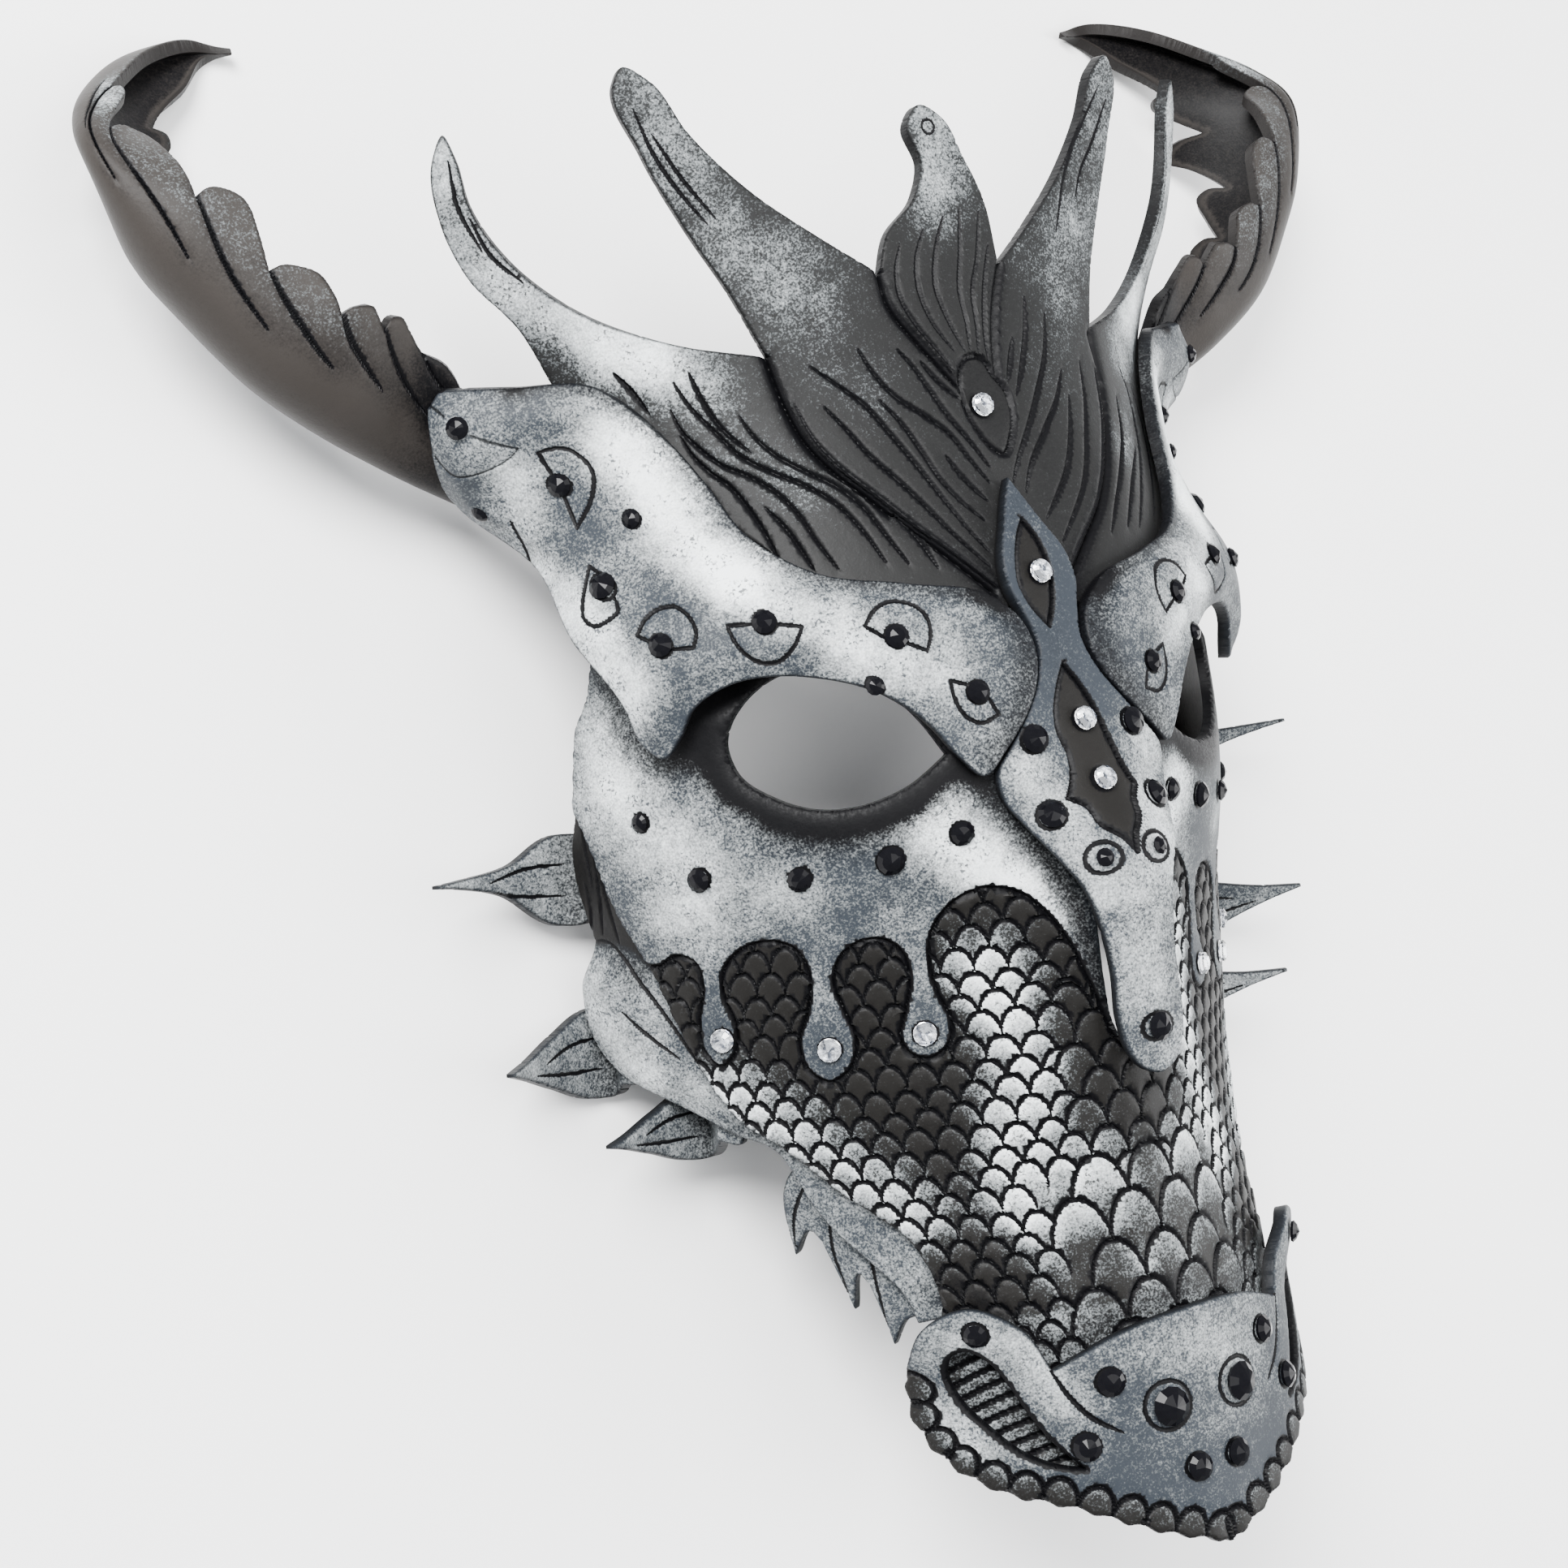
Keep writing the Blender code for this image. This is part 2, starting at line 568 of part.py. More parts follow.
def spike(name, root, tip, half, material):
    """Pointed jaw leaf with a cupped middle."""
    root = Vector(root)
    tip = Vector(tip)
    length = (tip - root).length
    along = (tip - root).normalized()
    across = Vector((0, 1, 0))
    across = (across - along * across.dot(along)).normalized()
    normal = along.cross(across)
    if normal.z < 0:
        normal = -normal
    outline = [(0, -half, 1), (0.12 * length, -half), (0.5 * length, -0.62 * half),
               (0.8 * length, -0.3 * half), (length, -0.35, 1), (length, 0.35, 1),
               (0.75 * length, 0.12 * half), (0.45 * length, 0.5 * half),
               (0.12 * length, half), (0, half, 1)]

    def form(u, v, t):
        cup = 1.2 * (1 - np.clip(np.abs(v) / half, 0, 1) ** 2) * ease(u / (0.5 * length))
        sag = mm(SPIKE_SAG) * np.sin(pi * np.clip(u / length, 0, 1))
        height = cup - sag + mm(SPIKE_LEATHER) * (t - 1)
        place = np.array(root) + u[:, None] * np.array(along) + v[:, None] * np.array(across)
        return place + height[:, None] * np.array(normal)

    obj = leather(name, [outline], form, material, cell=(16.0, 30.0), step=13.0)
    check_facing(obj)
    return obj


def check_facing(obj):
    """Turn a piece the right way out."""
    bm = bmesh.new()
    bm.from_mesh(obj.data)
    if bm.calc_volume(signed=True) < 0:
        bmesh.ops.reverse_faces(bm, faces=bm.faces[:])
    bm.to_mesh(obj.data)
    bm.free()


def stone(name, form, u, v, radius, material):
    """Pointed stone with a girdle, standing on a layer's outer face."""
    d = 0.4
    u = np.array([u, u + d, u - d, u, u], float)
    v = np.array([v, v, v, v + d, v - d], float)
    place = form(u, v, np.ones(5))
    normal = Vector(np.cross(place[1] - place[2], place[3] - place[4])).normalized()
    height = radius * STONE_HEIGHT
    girdle = height * 0.3
    bm = bmesh.new()
    turn = Vector((0, 0, 1)).rotation_difference(normal).to_matrix().to_4x4()
    base = Matrix.Translation(Vector(place[0]) * MM + normal * (STONE_GAP + girdle / 2))
    bmesh.ops.create_cone(bm, cap_ends=True, segments=8, radius1=radius * 0.88, radius2=radius,
                          depth=girdle, matrix=base @ turn)
    top = max(bm.faces, key=lambda f: f.calc_center_median().dot(normal))
    bmesh.ops.poke(bm, faces=[top], offset=height - girdle)
    bmesh.ops.triangulate(bm, faces=bm.faces[:])
    bmesh.ops.recalc_face_normals(bm, faces=bm.faces[:])
    mesh = bpy.data.meshes.new(name)
    bm.to_mesh(mesh)
    bm.free()
    obj = bpy.data.objects.new(name, mesh)
    PARTS.objects.link(obj)
    mesh.materials.append(material)
    return obj


def paired_stones(prefix, form, table, black, clear):
    for i, (u, v, radius, is_clear) in enumerate(table):
        material = clear if is_clear else black
        stone("%s_left_%d" % (prefix, i + 1), form, u, v, radius, material)
        stone("%s_right_%d" % (prefix, i + 1), form, -u, v, radius, material)


def material(name, colour, roughness, metallic=0.0):
    result = bpy.data.materials.new(name)
    result.use_nodes = True
    shader = result.node_tree.nodes["Principled BSDF"]
    shader.inputs["Base Color"].default_value = (*colour, 1.0)
    shader.inputs["Roughness"].default_value = roughness
    shader.inputs["Metallic"].default_value = metallic
    result.diffuse_color = (*colour, 1.0)
    return result


def new_collection(name):
    result = bpy.data.collections.new(name)
    bpy.context.scene.collection.children.link(result)
    return result


def settle():
    """Lay the mask down on its horns and its jaw."""
    tilt = Matrix.Rotation(radians(REST_TILT), 4, "X")
    place = Matrix.Translation((0, REST_BACK, REST_LIFT)) @ tilt
    for obj in PARTS.objects:
        obj.data.transform(place)


def main():
    silver = material("silver_leather", (0.46, 0.48, 0.50), 0.55)
    dark = material("dark_leather", (0.075, 0.07, 0.066), 0.6)
    black = material("black_stone", (0.012, 0.012, 0.014), 0.12)
    clear = material("clear_stone", (0.86, 0.88, 0.90), 0.05)
    eye_right = mirrored(EYE_HOLE)
    leather("face_shell", [both_halves(FACE_EDGE), EYE_HOLE, eye_right, slot_outline()],
            face_form, silver)
    leather("crest", [crest_outline()], crest_form, dark)
    leather("nose_strap", [strap_outline()], strap_form, silver)
    leather("snout_plate", [plate_outline(), NOSTRIL, mirrored(NOSTRIL)], plate_form, silver)
    brow = leather("brow_left", [brow_outline()], brow_form, silver)
    mirror_copy(brow, "brow_right")
    jaw = leather("jaw_strip_left", [JAW_OUTLINE], jaw_form, silver)
    mirror_copy(jaw, "jaw_strip_right")
    frill = leather("jaw_frill_left", [FRILL_OUTLINE], frill_form, silver)
    mirror_copy(frill, "jaw_frill_right")
    horn = leather("horn_left", [horn_outline()], horn_form, dark, cell=(4.55, 10.0), step=7.0)
    check_facing(horn)
    mirror_copy(horn, "horn_right")
    for i, (root, tip, half) in enumerate(SPIKES):
        left = spike("jaw_spike_left_%d" % (i + 1), root, tip, half, silver)
        mirror_copy(left, "jaw_spike_right_%d" % (i + 1))
    paired_stones("cheek_stone", face_form, CHEEK_STONES, black, clear)
    paired_stones("strap_stone", strap_form, STRAP_STONES, black, clear)
    paired_stones("snout_stone", plate_form, PLATE_STONES, black, clear)
    for i, (u, v, radius, is_clear) in enumerate(STRAP_MIDDLE_STONES):
        stone("strap_stone_middle_%d" % (i + 1), strap_form, u, v, radius, clear if is_clear else black)
    stone("crest_stone", crest_form, *CREST_STONE[:3], clear)
    settle()


for old in list(bpy.data.objects):
    bpy.data.objects.remove(old)
PARTS = new_collection("dragon_mask")
CUTTERS = new_collection("cutters")
main()
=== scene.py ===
"""Dragon mask of moulded and carved leather: its fine surface, paint, stones and stage.

Every leather piece is cut flat from an outline on a fine grid, its carving is pressed into
the flat, and the flat is then wrapped over a form. A flat pattern uses u across the face and
v up the face, in millimetres from the bridge between the eyes. The mask frame has X to the
right, Y up the face and Z out of the face; the whole mask is tilted about X at the end.
"""
from math import ceil, cos, pi, radians, sin

import bmesh
import bpy
import numpy as np
from mathutils import Matrix, Vector
from mathutils.kdtree import KDTree


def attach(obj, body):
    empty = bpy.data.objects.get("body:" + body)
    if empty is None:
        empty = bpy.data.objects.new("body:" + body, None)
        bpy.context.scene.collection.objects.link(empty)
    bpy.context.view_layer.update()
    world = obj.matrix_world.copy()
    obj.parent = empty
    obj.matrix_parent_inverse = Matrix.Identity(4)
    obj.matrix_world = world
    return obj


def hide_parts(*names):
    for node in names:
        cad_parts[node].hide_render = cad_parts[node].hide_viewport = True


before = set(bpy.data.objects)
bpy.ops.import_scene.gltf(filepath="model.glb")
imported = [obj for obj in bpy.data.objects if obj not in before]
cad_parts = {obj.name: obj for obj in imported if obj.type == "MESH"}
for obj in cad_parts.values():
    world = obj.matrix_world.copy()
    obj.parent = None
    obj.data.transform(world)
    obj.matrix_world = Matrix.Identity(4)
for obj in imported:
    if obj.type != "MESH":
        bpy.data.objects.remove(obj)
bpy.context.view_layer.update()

bl_info = {
    "name": "Dragon mask",
    "version": (1, 0, 0),
    "blender": (4, 5, 0),
    "location": "View3D > Sidebar > Mask",
    "description": "Builds the carved leather, paint and stones of a dragon mask",
    "category": "Object",
}

# Sizes of the pieces, in metres, as the solids have them
LEATHER = 0.0030          # thickness of the face, crest, brows, strap and snout plate
SPIKE_LEATHER = 0.0024    # thickness of the jaw spikes and frills
HORN_LEATHER = 0.0030     # thickness of the horn strips
LAYER_GAP = 0.0005        # clearance between two layers of leather
STONE_GAP = 0.0003        # clearance under a stone
SIDE_GAP = 0.0012         # clearance between the strap and the brows beside it
BROW_SINK = 0.0030        # how far a brow's inner face lies under its form
BROW_DROP = 0.0024        # how far a brow's rim rolls down
EAR_FLARE = 0.0090        # how far the brow's ear flares outwards over the horn
BROW_ROLL = 0.0070        # width of the rolled rim
TONGUE_RISE = 0.0050      # how far the strap's tongue stands off the muzzle
NOSE_SLOT_HALF = 0.0050   # half width of the slot behind the tongue
LOBE_FLARE = 0.0035       # how far the nostril lobes lift off the muzzle
LEAF_BULGE = 0.0030       # how far the jaw leaf swells outwards
HORN_WIDTH = 0.0400       # width of the horn strip in its flat pattern
SPIKE_CURL = 0.0040       # how far the crest's outer spikes curl back
RIGHT_SPIKE_RISE = 0.0070 # how much longer the right outer spike is than the left one
SPIKE_SAG = 0.0030        # how far a jaw spike dips under the jaw before it rises
SCALLOP_DEPTH = 0.0013    # depth of the half-round scales along the snout's rim
STONE_SMALL = 0.0020      # radius of the stones
STONE_MEDIUM = 0.0025
STONE_LARGE = 0.0030
STONE_NOSE = 0.0042
STONE_HEIGHT = 0.75       # height of a stone as a share of its radius
SCALLOPS = 12             # half-round scales on each half of the snout's rim

# Where the mask rests
REST_TILT = 8.8           # degrees about X
REST_LIFT = 0.0966        # metres
REST_BACK = -0.0081       # metres

MM = 0.001

# Sections up the face, in millimetres:
# height, radius across, depth of the middle, height of the middle ridge, its half width
FACE_SECTIONS = (
    (-175, 56, 12.0, 0.0, 34),
    (-150, 58, 8.0, 1.0, 34),
    (-121, 62, 2.5, 4.0, 34),
    (-90, 74, -8.0, 10.5, 32),
    (-60, 84, -11.0, 13.5, 26),
    (-34, 86, -8.5, 11.0, 21),
    (-24, 87, -6.5, 8.5, 19),
    (-12, 87, -4.8, 4.9, 17),
    (2, 87, -4.5, 0.2, 16),
    (20, 87, -6.5, -2.5, 15),
    (34, 87, -10.0, -3.0, 15),
    (54, 90, -16.5, -2.5, 15),
    (66, 95, -21.0, 0.0, 16),
    (85, 106, -26.0, 0.0, 18),
    (110, 145, -30.5, 0.0, 20),
    (150, 230, -34.0, 0.0, 20),
)
# height, radius across, depth of the middle
BROW_SECTIONS = (
    (-12, 97, -3.2),
    (6, 104, -2.3),
    (31, 110, -5.0),
    (45, 98, -9.3),
    (60, 95, -14.8),
    (72, 102, -19.5),
    (83, 122, -24.0),
    (95, 138, -28.0),
)
# Horn rails in the mask frame, in millimetres, from root to tip: the strip is folded
# along its spine, and both of its rims are lobed
HORN_FRONT = (
    (-92, 92, -73), (-103, 97, -76), (-112.5, 102, -73), (-122, 105.5, -71.5),
    (-135, 116, -75), (-146, 131.5, -79), (-157, 145, -89), (-154.5, 154, -97),
    (-147.5, 160.7, -105), (-138, 167, -113), (-123.5, 171, -119), (-115, 169, -120),
)
HORN_SPINE = (
    (-92, 67, -87), (-106, 75, -86.5), (-121.5, 84.5, -81.5), (-136, 95, -80.5),
    (-148, 110, -82.5), (-156.5, 123.5, -85), (-162, 141, -90), (-160, 150.5, -99),
    (-152, 159, -110), (-141, 165.5, -118), (-126.5, 169, -122.5), (-115, 169, -120),
)
HORN_REAR = (
    (-90, 74, -94), (-104, 80, -95), (-118, 86, -95.5), (-131, 97, -97),
    (-143, 111, -99.5), (-150.5, 124, -102.5), (-149.5, 137, -106), (-144, 147, -109.5),
    (-137.5, 155, -114), (-130, 160.5, -117.5), (-121.5, 166, -120.5), (-115, 168, -120.5),
)
# Notches along a horn's rim, as a share of its length, and the height of each lobe between them
HORN_NOTCHES = (9, 18, 27, 36, 45.5, 57, 68)
HORN_LOBES = (2.4, 2.8, 4.2, 5.4, 7.6, 4.0)

# Outlines of the left half as (u, v), with a third value of 1 at a sharp corner
FACE_EDGE = (
    (0, 46), (-30, 45), (-58, 43), (-84, 38), (-104, 31), (-112, 16), (-118, -3, 1),
    (-113, -14), (-108, -25), (-99, -39), (-90, -59), (-82, -73), (-73, -80), (-63, -90),
    (-51, -102), (-49, -113), (-53, -126), (-50, -138), (-40, -147), (-22, -156), (0, -165),
)
EYE_HOLE = (
    (-76, 7), (-71, 15.5), (-63, 20.5), (-53, 21.5), (-42.5, 16.5), (-35, 8), (-30, -0.5, 1),
    (-39, -6), (-49.5, -8.7), (-58, -8.4), (-67.5, -4.7), (-74.5, 1),
)
NOSE_SLOT = ((0, -23), (-0.8, -29), (-1, -40), (-1, -52), (-0.8, -62), (0, -68))
CREST_BASE = (
    (0, 31), (-13, 25), (-33, 29), (-54, 34), (-71, 46), (-79, 60), (-86, 74), (-91, 86, 1),
)
CREST_OUTER_SPIKE = (
    (-95, 98), (-103.5, 110), (-107, 120), (-107, 133), (-104, 138), (-102, 133),
    (-100.5, 123.5), (-95, 113), (-84, 101.5), (-63.5, 91), (-45, 86, 1),
)
CREST_INNER_SPIKE = (
    (-50, 100), (-57, 114.5), (-63.7, 130), (-67.5, 145), (-65.5, 148), (-60, 145),
    (-53, 133.5), (-42.5, 121.5), (-28.5, 110), (-16, 101, 1),
)
CREST_MIDDLE_SPIKE = (
    (-12.3, 109), (-3.2, 117), (0, 124), (-2, 132), (2, 136.5), (8, 133.5), (12, 125),
    (15.5, 116),
)
STRAP_HALF_WIDTHS = (
    (54, 0), (50, 2.2), (44, 5.2), (37, 8.6), (31, 9.2), (25, 7.4), (18, 6.0), (12, 7.8),
    (5, 12.4), (-1, 17.3), (-6, 21.0), (-11, 20.6), (-17, 17.2), (-24, 12.6), (-31, 8.8),
    (-40, 6.8), (-50, 6.0), (-60, 6.2), (-67, 5.0), (-70.5, 2.8), (-71.8, 0),
)
BROW_INNER = (31, 25, 18, 12, 5, -1)
BROW_OUTLINE = (
    (-33, 36.5), (-51.5, 41.5), (-64, 51.5), (-69.5, 63), (-75, 72.5), (-83.5, 84),
    (-100.5, 86.5), (-115, 88.5, 1), (-118.5, 85.5, 1), (-120, 79), (-123.5, 62), (-112, 49),
    (-106, 33), (-98, 17), (-96, 9.5), (-91.5, 6), (-87, 10), (-83.5, 15.2), (-74, 20),
    (-64, 20.5), (-56, 19), (-45, 14.5), (-36, 6.5), (-30.5, -1.5), (-26, -6),
)
JAW_OUTLINE = (
    (-112, -2, 1), (-120, -1.5, 1), (-124, -15), (-121, -26), (-118, -33.5, 1),
    (-120.5, -44), (-118.5, -55), (-112, -62.5), (-103, -68), (-86, -77.5), (-76, -82),
    (-73.5, -87), (-71.5, -93), (-68.5, -98.5), (-62, -106.5), (-57.5, -113),
    (-56.5, -119, 1), (-45, -117, 1), (-43, -110), (-46, -100), (-57, -87), (-66, -76),
    (-75, -69), (-83, -57), (-92, -38), (-101, -24), (-106, -13),
)
FRILL_OUTLINE = (
    (-70, -82, 1), (-79, -90), (-85, -107, 1), (-76, -101), (-75, -103, 1), (-74, -118, 1),
    (-68, -110), (-67, -112, 1), (-66, -125, 1), (-60, -119), (-52, -118, 1), (-50, -108),
    (-58, -97),
)
PLATE_TOP = (
    (0, -122.5), (-15, -124), (-30.5, -129.5, 1), (-34.5, -120.5), (-43, -115), (-52.5, -118),
    (-59, -127),
)
PLATE_RIM = (
    (-59, -127), (-60.5, -135.5), (-56.5, -145), (-46, -153), (-31, -158.5), (-17, -165.5),
    (0, -172.5),
)
NOSTRIL = (
    (-49, -124.5), (-45.8, -123.5), (-42.5, -126), (-39.5, -131.5), (-37, -137.5),
    (-32.7, -145), (-28, -150.5, 1), (-33.5, -149), (-39, -146), (-45, -140), (-49.5, -134),
    (-51, -128.5),
)
# Jaw spikes: root, tip and root half width, in the mask frame, in millimetres
SPIKES = (
    ((-78, -20, -85.5), (-119.5, -14, -71), 10),
    ((-76, -59, -85.5), (-112, -55, -64), 10),
    ((-61, -77, -72), (-96, -73, -55), 8),
)
# Fullness of each jaw leaf's middle, and how far it bends, in millimetres
SPIKE_LEAVES = ((0.34, 0.8), (0.62, 0.6), (0.6, 0.4))
# Where each jaw leaf's tab lies on the jaw strip's inner face: lower and upper end
SPIKE_SEATS = (
    ((-121, -20), (-114, -20)),
    ((-114.5, -58.5), (-108, -59.5)),
    ((-91.5, -74), (-86, -76)),
)
SPIKE_FOLD = 6.0          # millimetres of a jaw leaf's root that bend up to the jaw strip
# Stones: u, v, radius, clear
CHEEK_STONES = (
    (-98, -7, STONE_SMALL, 0), (-85, -20, STONE_MEDIUM, 0), (-63, -22, STONE_MEDIUM, 0),
    (-44, -20.5, STONE_LARGE, 0), (-29, -17, STONE_MEDIUM, 0),
    (-82, -55, STONE_MEDIUM, 1), (-59, -59, STONE_MEDIUM, 1), (-39.5, -58, STONE_MEDIUM, 1),
)
STRAP_STONES = (
    (-12.5, -0.5, STONE_LARGE, 0), (-12, -16, STONE_LARGE, 0), (-5, -26, STONE_SMALL, 0),
)
STRAP_MIDDLE_STONES = (
    (0, 33, STONE_MEDIUM, 1), (0, 1.5, STONE_MEDIUM, 1), (0, -11, STONE_MEDIUM, 1),
    (0, -62, STONE_LARGE, 0),
)
CREST_STONE = (0, 70.5, STONE_MEDIUM, 1)
PLATE_STONES = (
    (-9, -141, STONE_NOSE, 0), (-5, -155, STONE_LARGE, 0), (-20, -133.5, STONE_LARGE, 0),
    (-27, -145.8, STONE_LARGE, 0), (-43, -120, STONE_MEDIUM, 0),
)

# The photograph's camera in the mask frame: place in millimetres, and its directions
CAMERA_EYE = (-359.154, 46.471, 452.730)
CAMERA_FORWARD = (0.52853, -0.085056, -0.844642)
CAMERA_UP = (0.158886, 0.987297, 0.0)
SENSOR = 36.0             # millimetres
LENS = 63.35              # millimetres

# Lights: name, place, diameter in metres and power in watts
LIGHTS = (
    ("key_light", (-0.75, 0.65, 1.05), 0.7, 70.0),
    ("fill_light", (0.95, -0.35, 0.75), 0.9, 26.0),
    ("top_light", (0.0, 0.1, 1.5), 1.3, 24.0),
)

# Fine surface, in millimetres
SLAB = 10.0               # thickness of the flat slab before it is wrapped
HORN_STRETCH = 2.1        # millimetres of horn for one step of its pattern
PROBE = 0.4               # distance of the samples that give a form's normal
TRACK_STEP = 0.4          # spacing of the samples along a carved line
SHARP_ANGLE = 35          # degrees from which an edge is shaded sharp
RIM_INK = 0.42            # ink along a rim
REFINE = ((1.6, 1), (0.75, 1))   # reach round a carved line and cuts, one row for each pass
MERGE_SHARE = 0.22        # shortest edge kept, as a share of the grid
BEVEL_REACH = 1.3         # how far a bevel reaches from its cut, in millimetres
SCALE_WIDTH = 6.4         # width of a small scale, in millimetres
SCALE_RISE = 5.6          # height of a small scale's arch
SCALE_PITCH = 4.6         # spacing of the small scales' rows
NOSTRIL_RIBS = 11         # ribs behind each nostril
RIB_PITCH = 3.3           # their spacing
RIB_TOP = -121.0          # height of the uppermost rib
RIB_SLOPE = 0.30          # how steeply the ribs slant
SCALE_SIZES = (1.0, 1.32, 1.9)   # small scales, those down the snout, and the largest ones
SCALE_LIFT = 0.28         # how far a scale's middle swells
FIELD_SINK = 0.35         # how far the scale field lies under the silver leather
RIM_SCALE_REACH = 5.6     # reach of the half-round scales inwards from the snout's rim

# Cover of silver paint on each piece, before its strokes of airbrushed paint, painted highlights
# and painted shade
FACE_SILVER = 0.405
RIB_SILVER = 0.44
BROW_SILVER = 0.425
CREST_SILVER = 0.17
STRAP_SILVER = 0.25
TONGUE_SILVER = 0.17
PLATE_SILVER = 0.42
JAW_SILVER = 0.50
FRILL_SILVER = 0.45
LEAF_SILVER = 0.52

# Grain of the paint, as noise scales
FINE_GRAIN = 2000.0
MEDIUM_GRAIN = 620.0
CLOUD_GRAIN = 65.0
PATCH_GRAIN = 190.0
SPECK_GRAIN = 1500.0

# Upper border of the scale field on the left cheek, from the jaw to the nose
FIELD_BORDER = (
    (-104, -38.5), (-100.6, -37.9), (-96.5, -38.2), (-92, -36.2), (-87, -38.2), (-85.6, -43.5),
    (-87.2, -50.9), (-87, -57), (-83.7, -60.8), (-80, -58), (-79.1, -52.8), (-81.2, -45.8),
    (-81, -40.6), (-76.8, -36), (-70.4, -34.6), (-64.6, -36.8), (-61.8, -42), (-62.4, -50),
    (-65.1, -57), (-64, -63), (-60, -65.9), (-55.6, -63.6), (-53.5, -57.3), (-55.4, -51),
    (-57, -44.5), (-54.6, -39), (-50.5, -36.8), (-45.6, -37.2), (-42, -40.6), (-41, -46.4),
    (-42.6, -53), (-44.2, -58.6), (-42.6, -62), (-39.3, -63.2), (-35.6, -61), (-34.4, -56),
    (-36.2, -50), (-37.2, -43.5), (-36, -36.5), (-31.5, -31.2), (-25.1, -29.2), (-19, -31),
    (-14.5, -36), (-11, -43), (-8, -52), (-5.6, -60), (-3, -66), (0, -68),
)

# Carved lines of the crest, left wing: outer part, then inner part
OUTER_WING = (
    ((-61.6, 84.7), (-60.3, 79.4), (-57.8, 72.7), (-53.4, 66.8)),
    ((-65.2, 83.2), (-63.2, 78.1), (-59.2, 71.8), (-55.6, 66.4), (-50.1, 62.1), (-44.8, 58.8),
     (-39.5, 54), (-35.9, 47.8), (-33.2, 40.5)),
    ((-53.5, 74.4), (-51.7, 70.1), (-48.5, 65.7), (-43.5, 61.5), (-37.9, 57.3), (-33.9, 52.1),
     (-31.3, 46), (-28.5, 39.6)),
    ((-67.2, 77.6), (-66.2, 73.3), (-63.4, 68.9), (-60, 65), (-54.7, 61.6), (-50.8, 57.9),
     (-47.8, 52.9), (-45.9, 46.8), (-43.4, 40.5)),
    ((-66.6, 71.7), (-65.4, 68), (-63.1, 64.2), (-59.7, 60.3), (-57.5, 55.4), (-55.7, 49.4),
     (-54.4, 42.3)),
    ((-54, 54.9), (-51.4, 50.5), (-49.6, 45.6), (-48.3, 40.9)),
    ((-64.2, 60.4), (-63.4, 55.6), (-60.6, 50), (-55.9, 45.4)),
    ((-28.5, 50), (-25.9, 46.4), (-23.8, 42.1), (-22.4, 37.9)),
    ((-77.1, 86.9), (-74.5, 83.1), (-71.9, 77.6)),
)
INNER_WING = (
    ((-36.3, 82.9), (-31.6, 78.5), (-27, 73.9), (-23.1, 67), (-19.4, 59.6), (-15.5, 51.5),
     (-11.3, 44), (-8.2, 39.5)),
    ((-35.5, 74.1), (-32.1, 68.7), (-29.1, 63.1), (-25, 57.4), (-21, 51.6), (-16.2, 44.6),
     (-9.6, 36.8)),
    ((-23.3, 74.1), (-20, 69), (-17.2, 62.2), (-14.6, 55.5), (-10.8, 50.3), (-7, 46.5)),
    ((-25, 85.3), (-23.2, 80.5), (-19.4, 74.5), (-14.5, 70.2), (-10.1, 66.1), (-5.9, 59.2),
     (-2.6, 54.2)),
    ((-16.2, 84.4), (-13.7, 80.7), (-11.4, 75.7), (-8.8, 69.6), (-4.2, 62), (-1.6, 57.5)),
    ((-12, 60.8), (-9.2, 56), (-4.6, 50.5)),
    ((-11.5, 81.3), (-8.9, 77.2), (-5, 72.7)),
)
RIGHT_WING = (
    ((14.4, 84.6), (11.7, 79.5), (9.4, 75.3)),
    ((21.4, 93.5), (19.2, 86.6), (14.8, 78.2), (10.7, 72.1)),
    ((27, 89.8), (24, 81.8), (17.2, 72.2), (11.5, 65.1), (6.4, 58.6), (3.5, 53.7)),
    ((28, 76.9), (23.8, 71.2), (15.7, 63.6), (9.5, 57.2), (6, 51.2)),
    ((28.1, 71), (24.9, 64.1), (19.9, 56.3), (12.3, 48.3), (9.1, 45.1)),
    ((36.1, 78.4), (34.3, 70.8), (29.2, 61), (22.7, 51.4), (16.4, 45), (11.2, 39.8)),
    ((50.3, 70), (47.9, 63.2), (39.5, 53.3), (31, 45), (26.7, 40.1)),
    ((53.3, 58.2), (43.4, 50.1), (33.8, 40.7)),
    ((56.9, 77.5), (60, 69.7), (57.5, 60.5), (48.9, 49.8), (39.4, 40.3)),
    ((64, 74), (66, 62), (60, 52), (50, 42)),
)
BULB = (
    ((-9.8, 106.6), (-11.9, 101.7), (-12.5, 95.5), (-10.5, 89.8), (-6.6, 83.2), (-4.4, 79)),
    ((-3.1, 109.5), (-6.3, 103.5), (-7.5, 97.4), (-6.1, 89.4), (-2.7, 82.9)),
    ((2.8, 112), (-0.9, 104.9), (-3.1, 97.1), (-2, 89.6), (0.2, 82.6)),
    ((7.7, 113.5), (5.6, 104.5), (2.9, 95.6), (2.6, 88.7), (1.6, 83)),
    ((13.1, 112.7), (10.1, 103.1), (6.4, 95.3), (5.1, 87.4), (3.6, 82)),
    ((13.8, 105.3), (9.7, 95.2), (7.2, 87.3), (5.6, 80.2)),
)
PATCH = (
    (-0.4, 80.8), (2.3, 81.4), (4.3, 80.6), (5.9, 77.1), (8.2, 73.5), (8.4, 69), (6.1, 63.2),
    (3.2, 59.8), (0.4, 61.5), (-2.3, 65.7), (-3.8, 71), (-3.3, 76.5),
)
GROOVE_LEFT = (
    (-45, 85.6), (-43.6, 75.4), (-41.5, 67.6), (-37, 60.1), (-32, 54.2), (-27, 48.3), (-19, 40.3),
    (-10.4, 31.7),
)
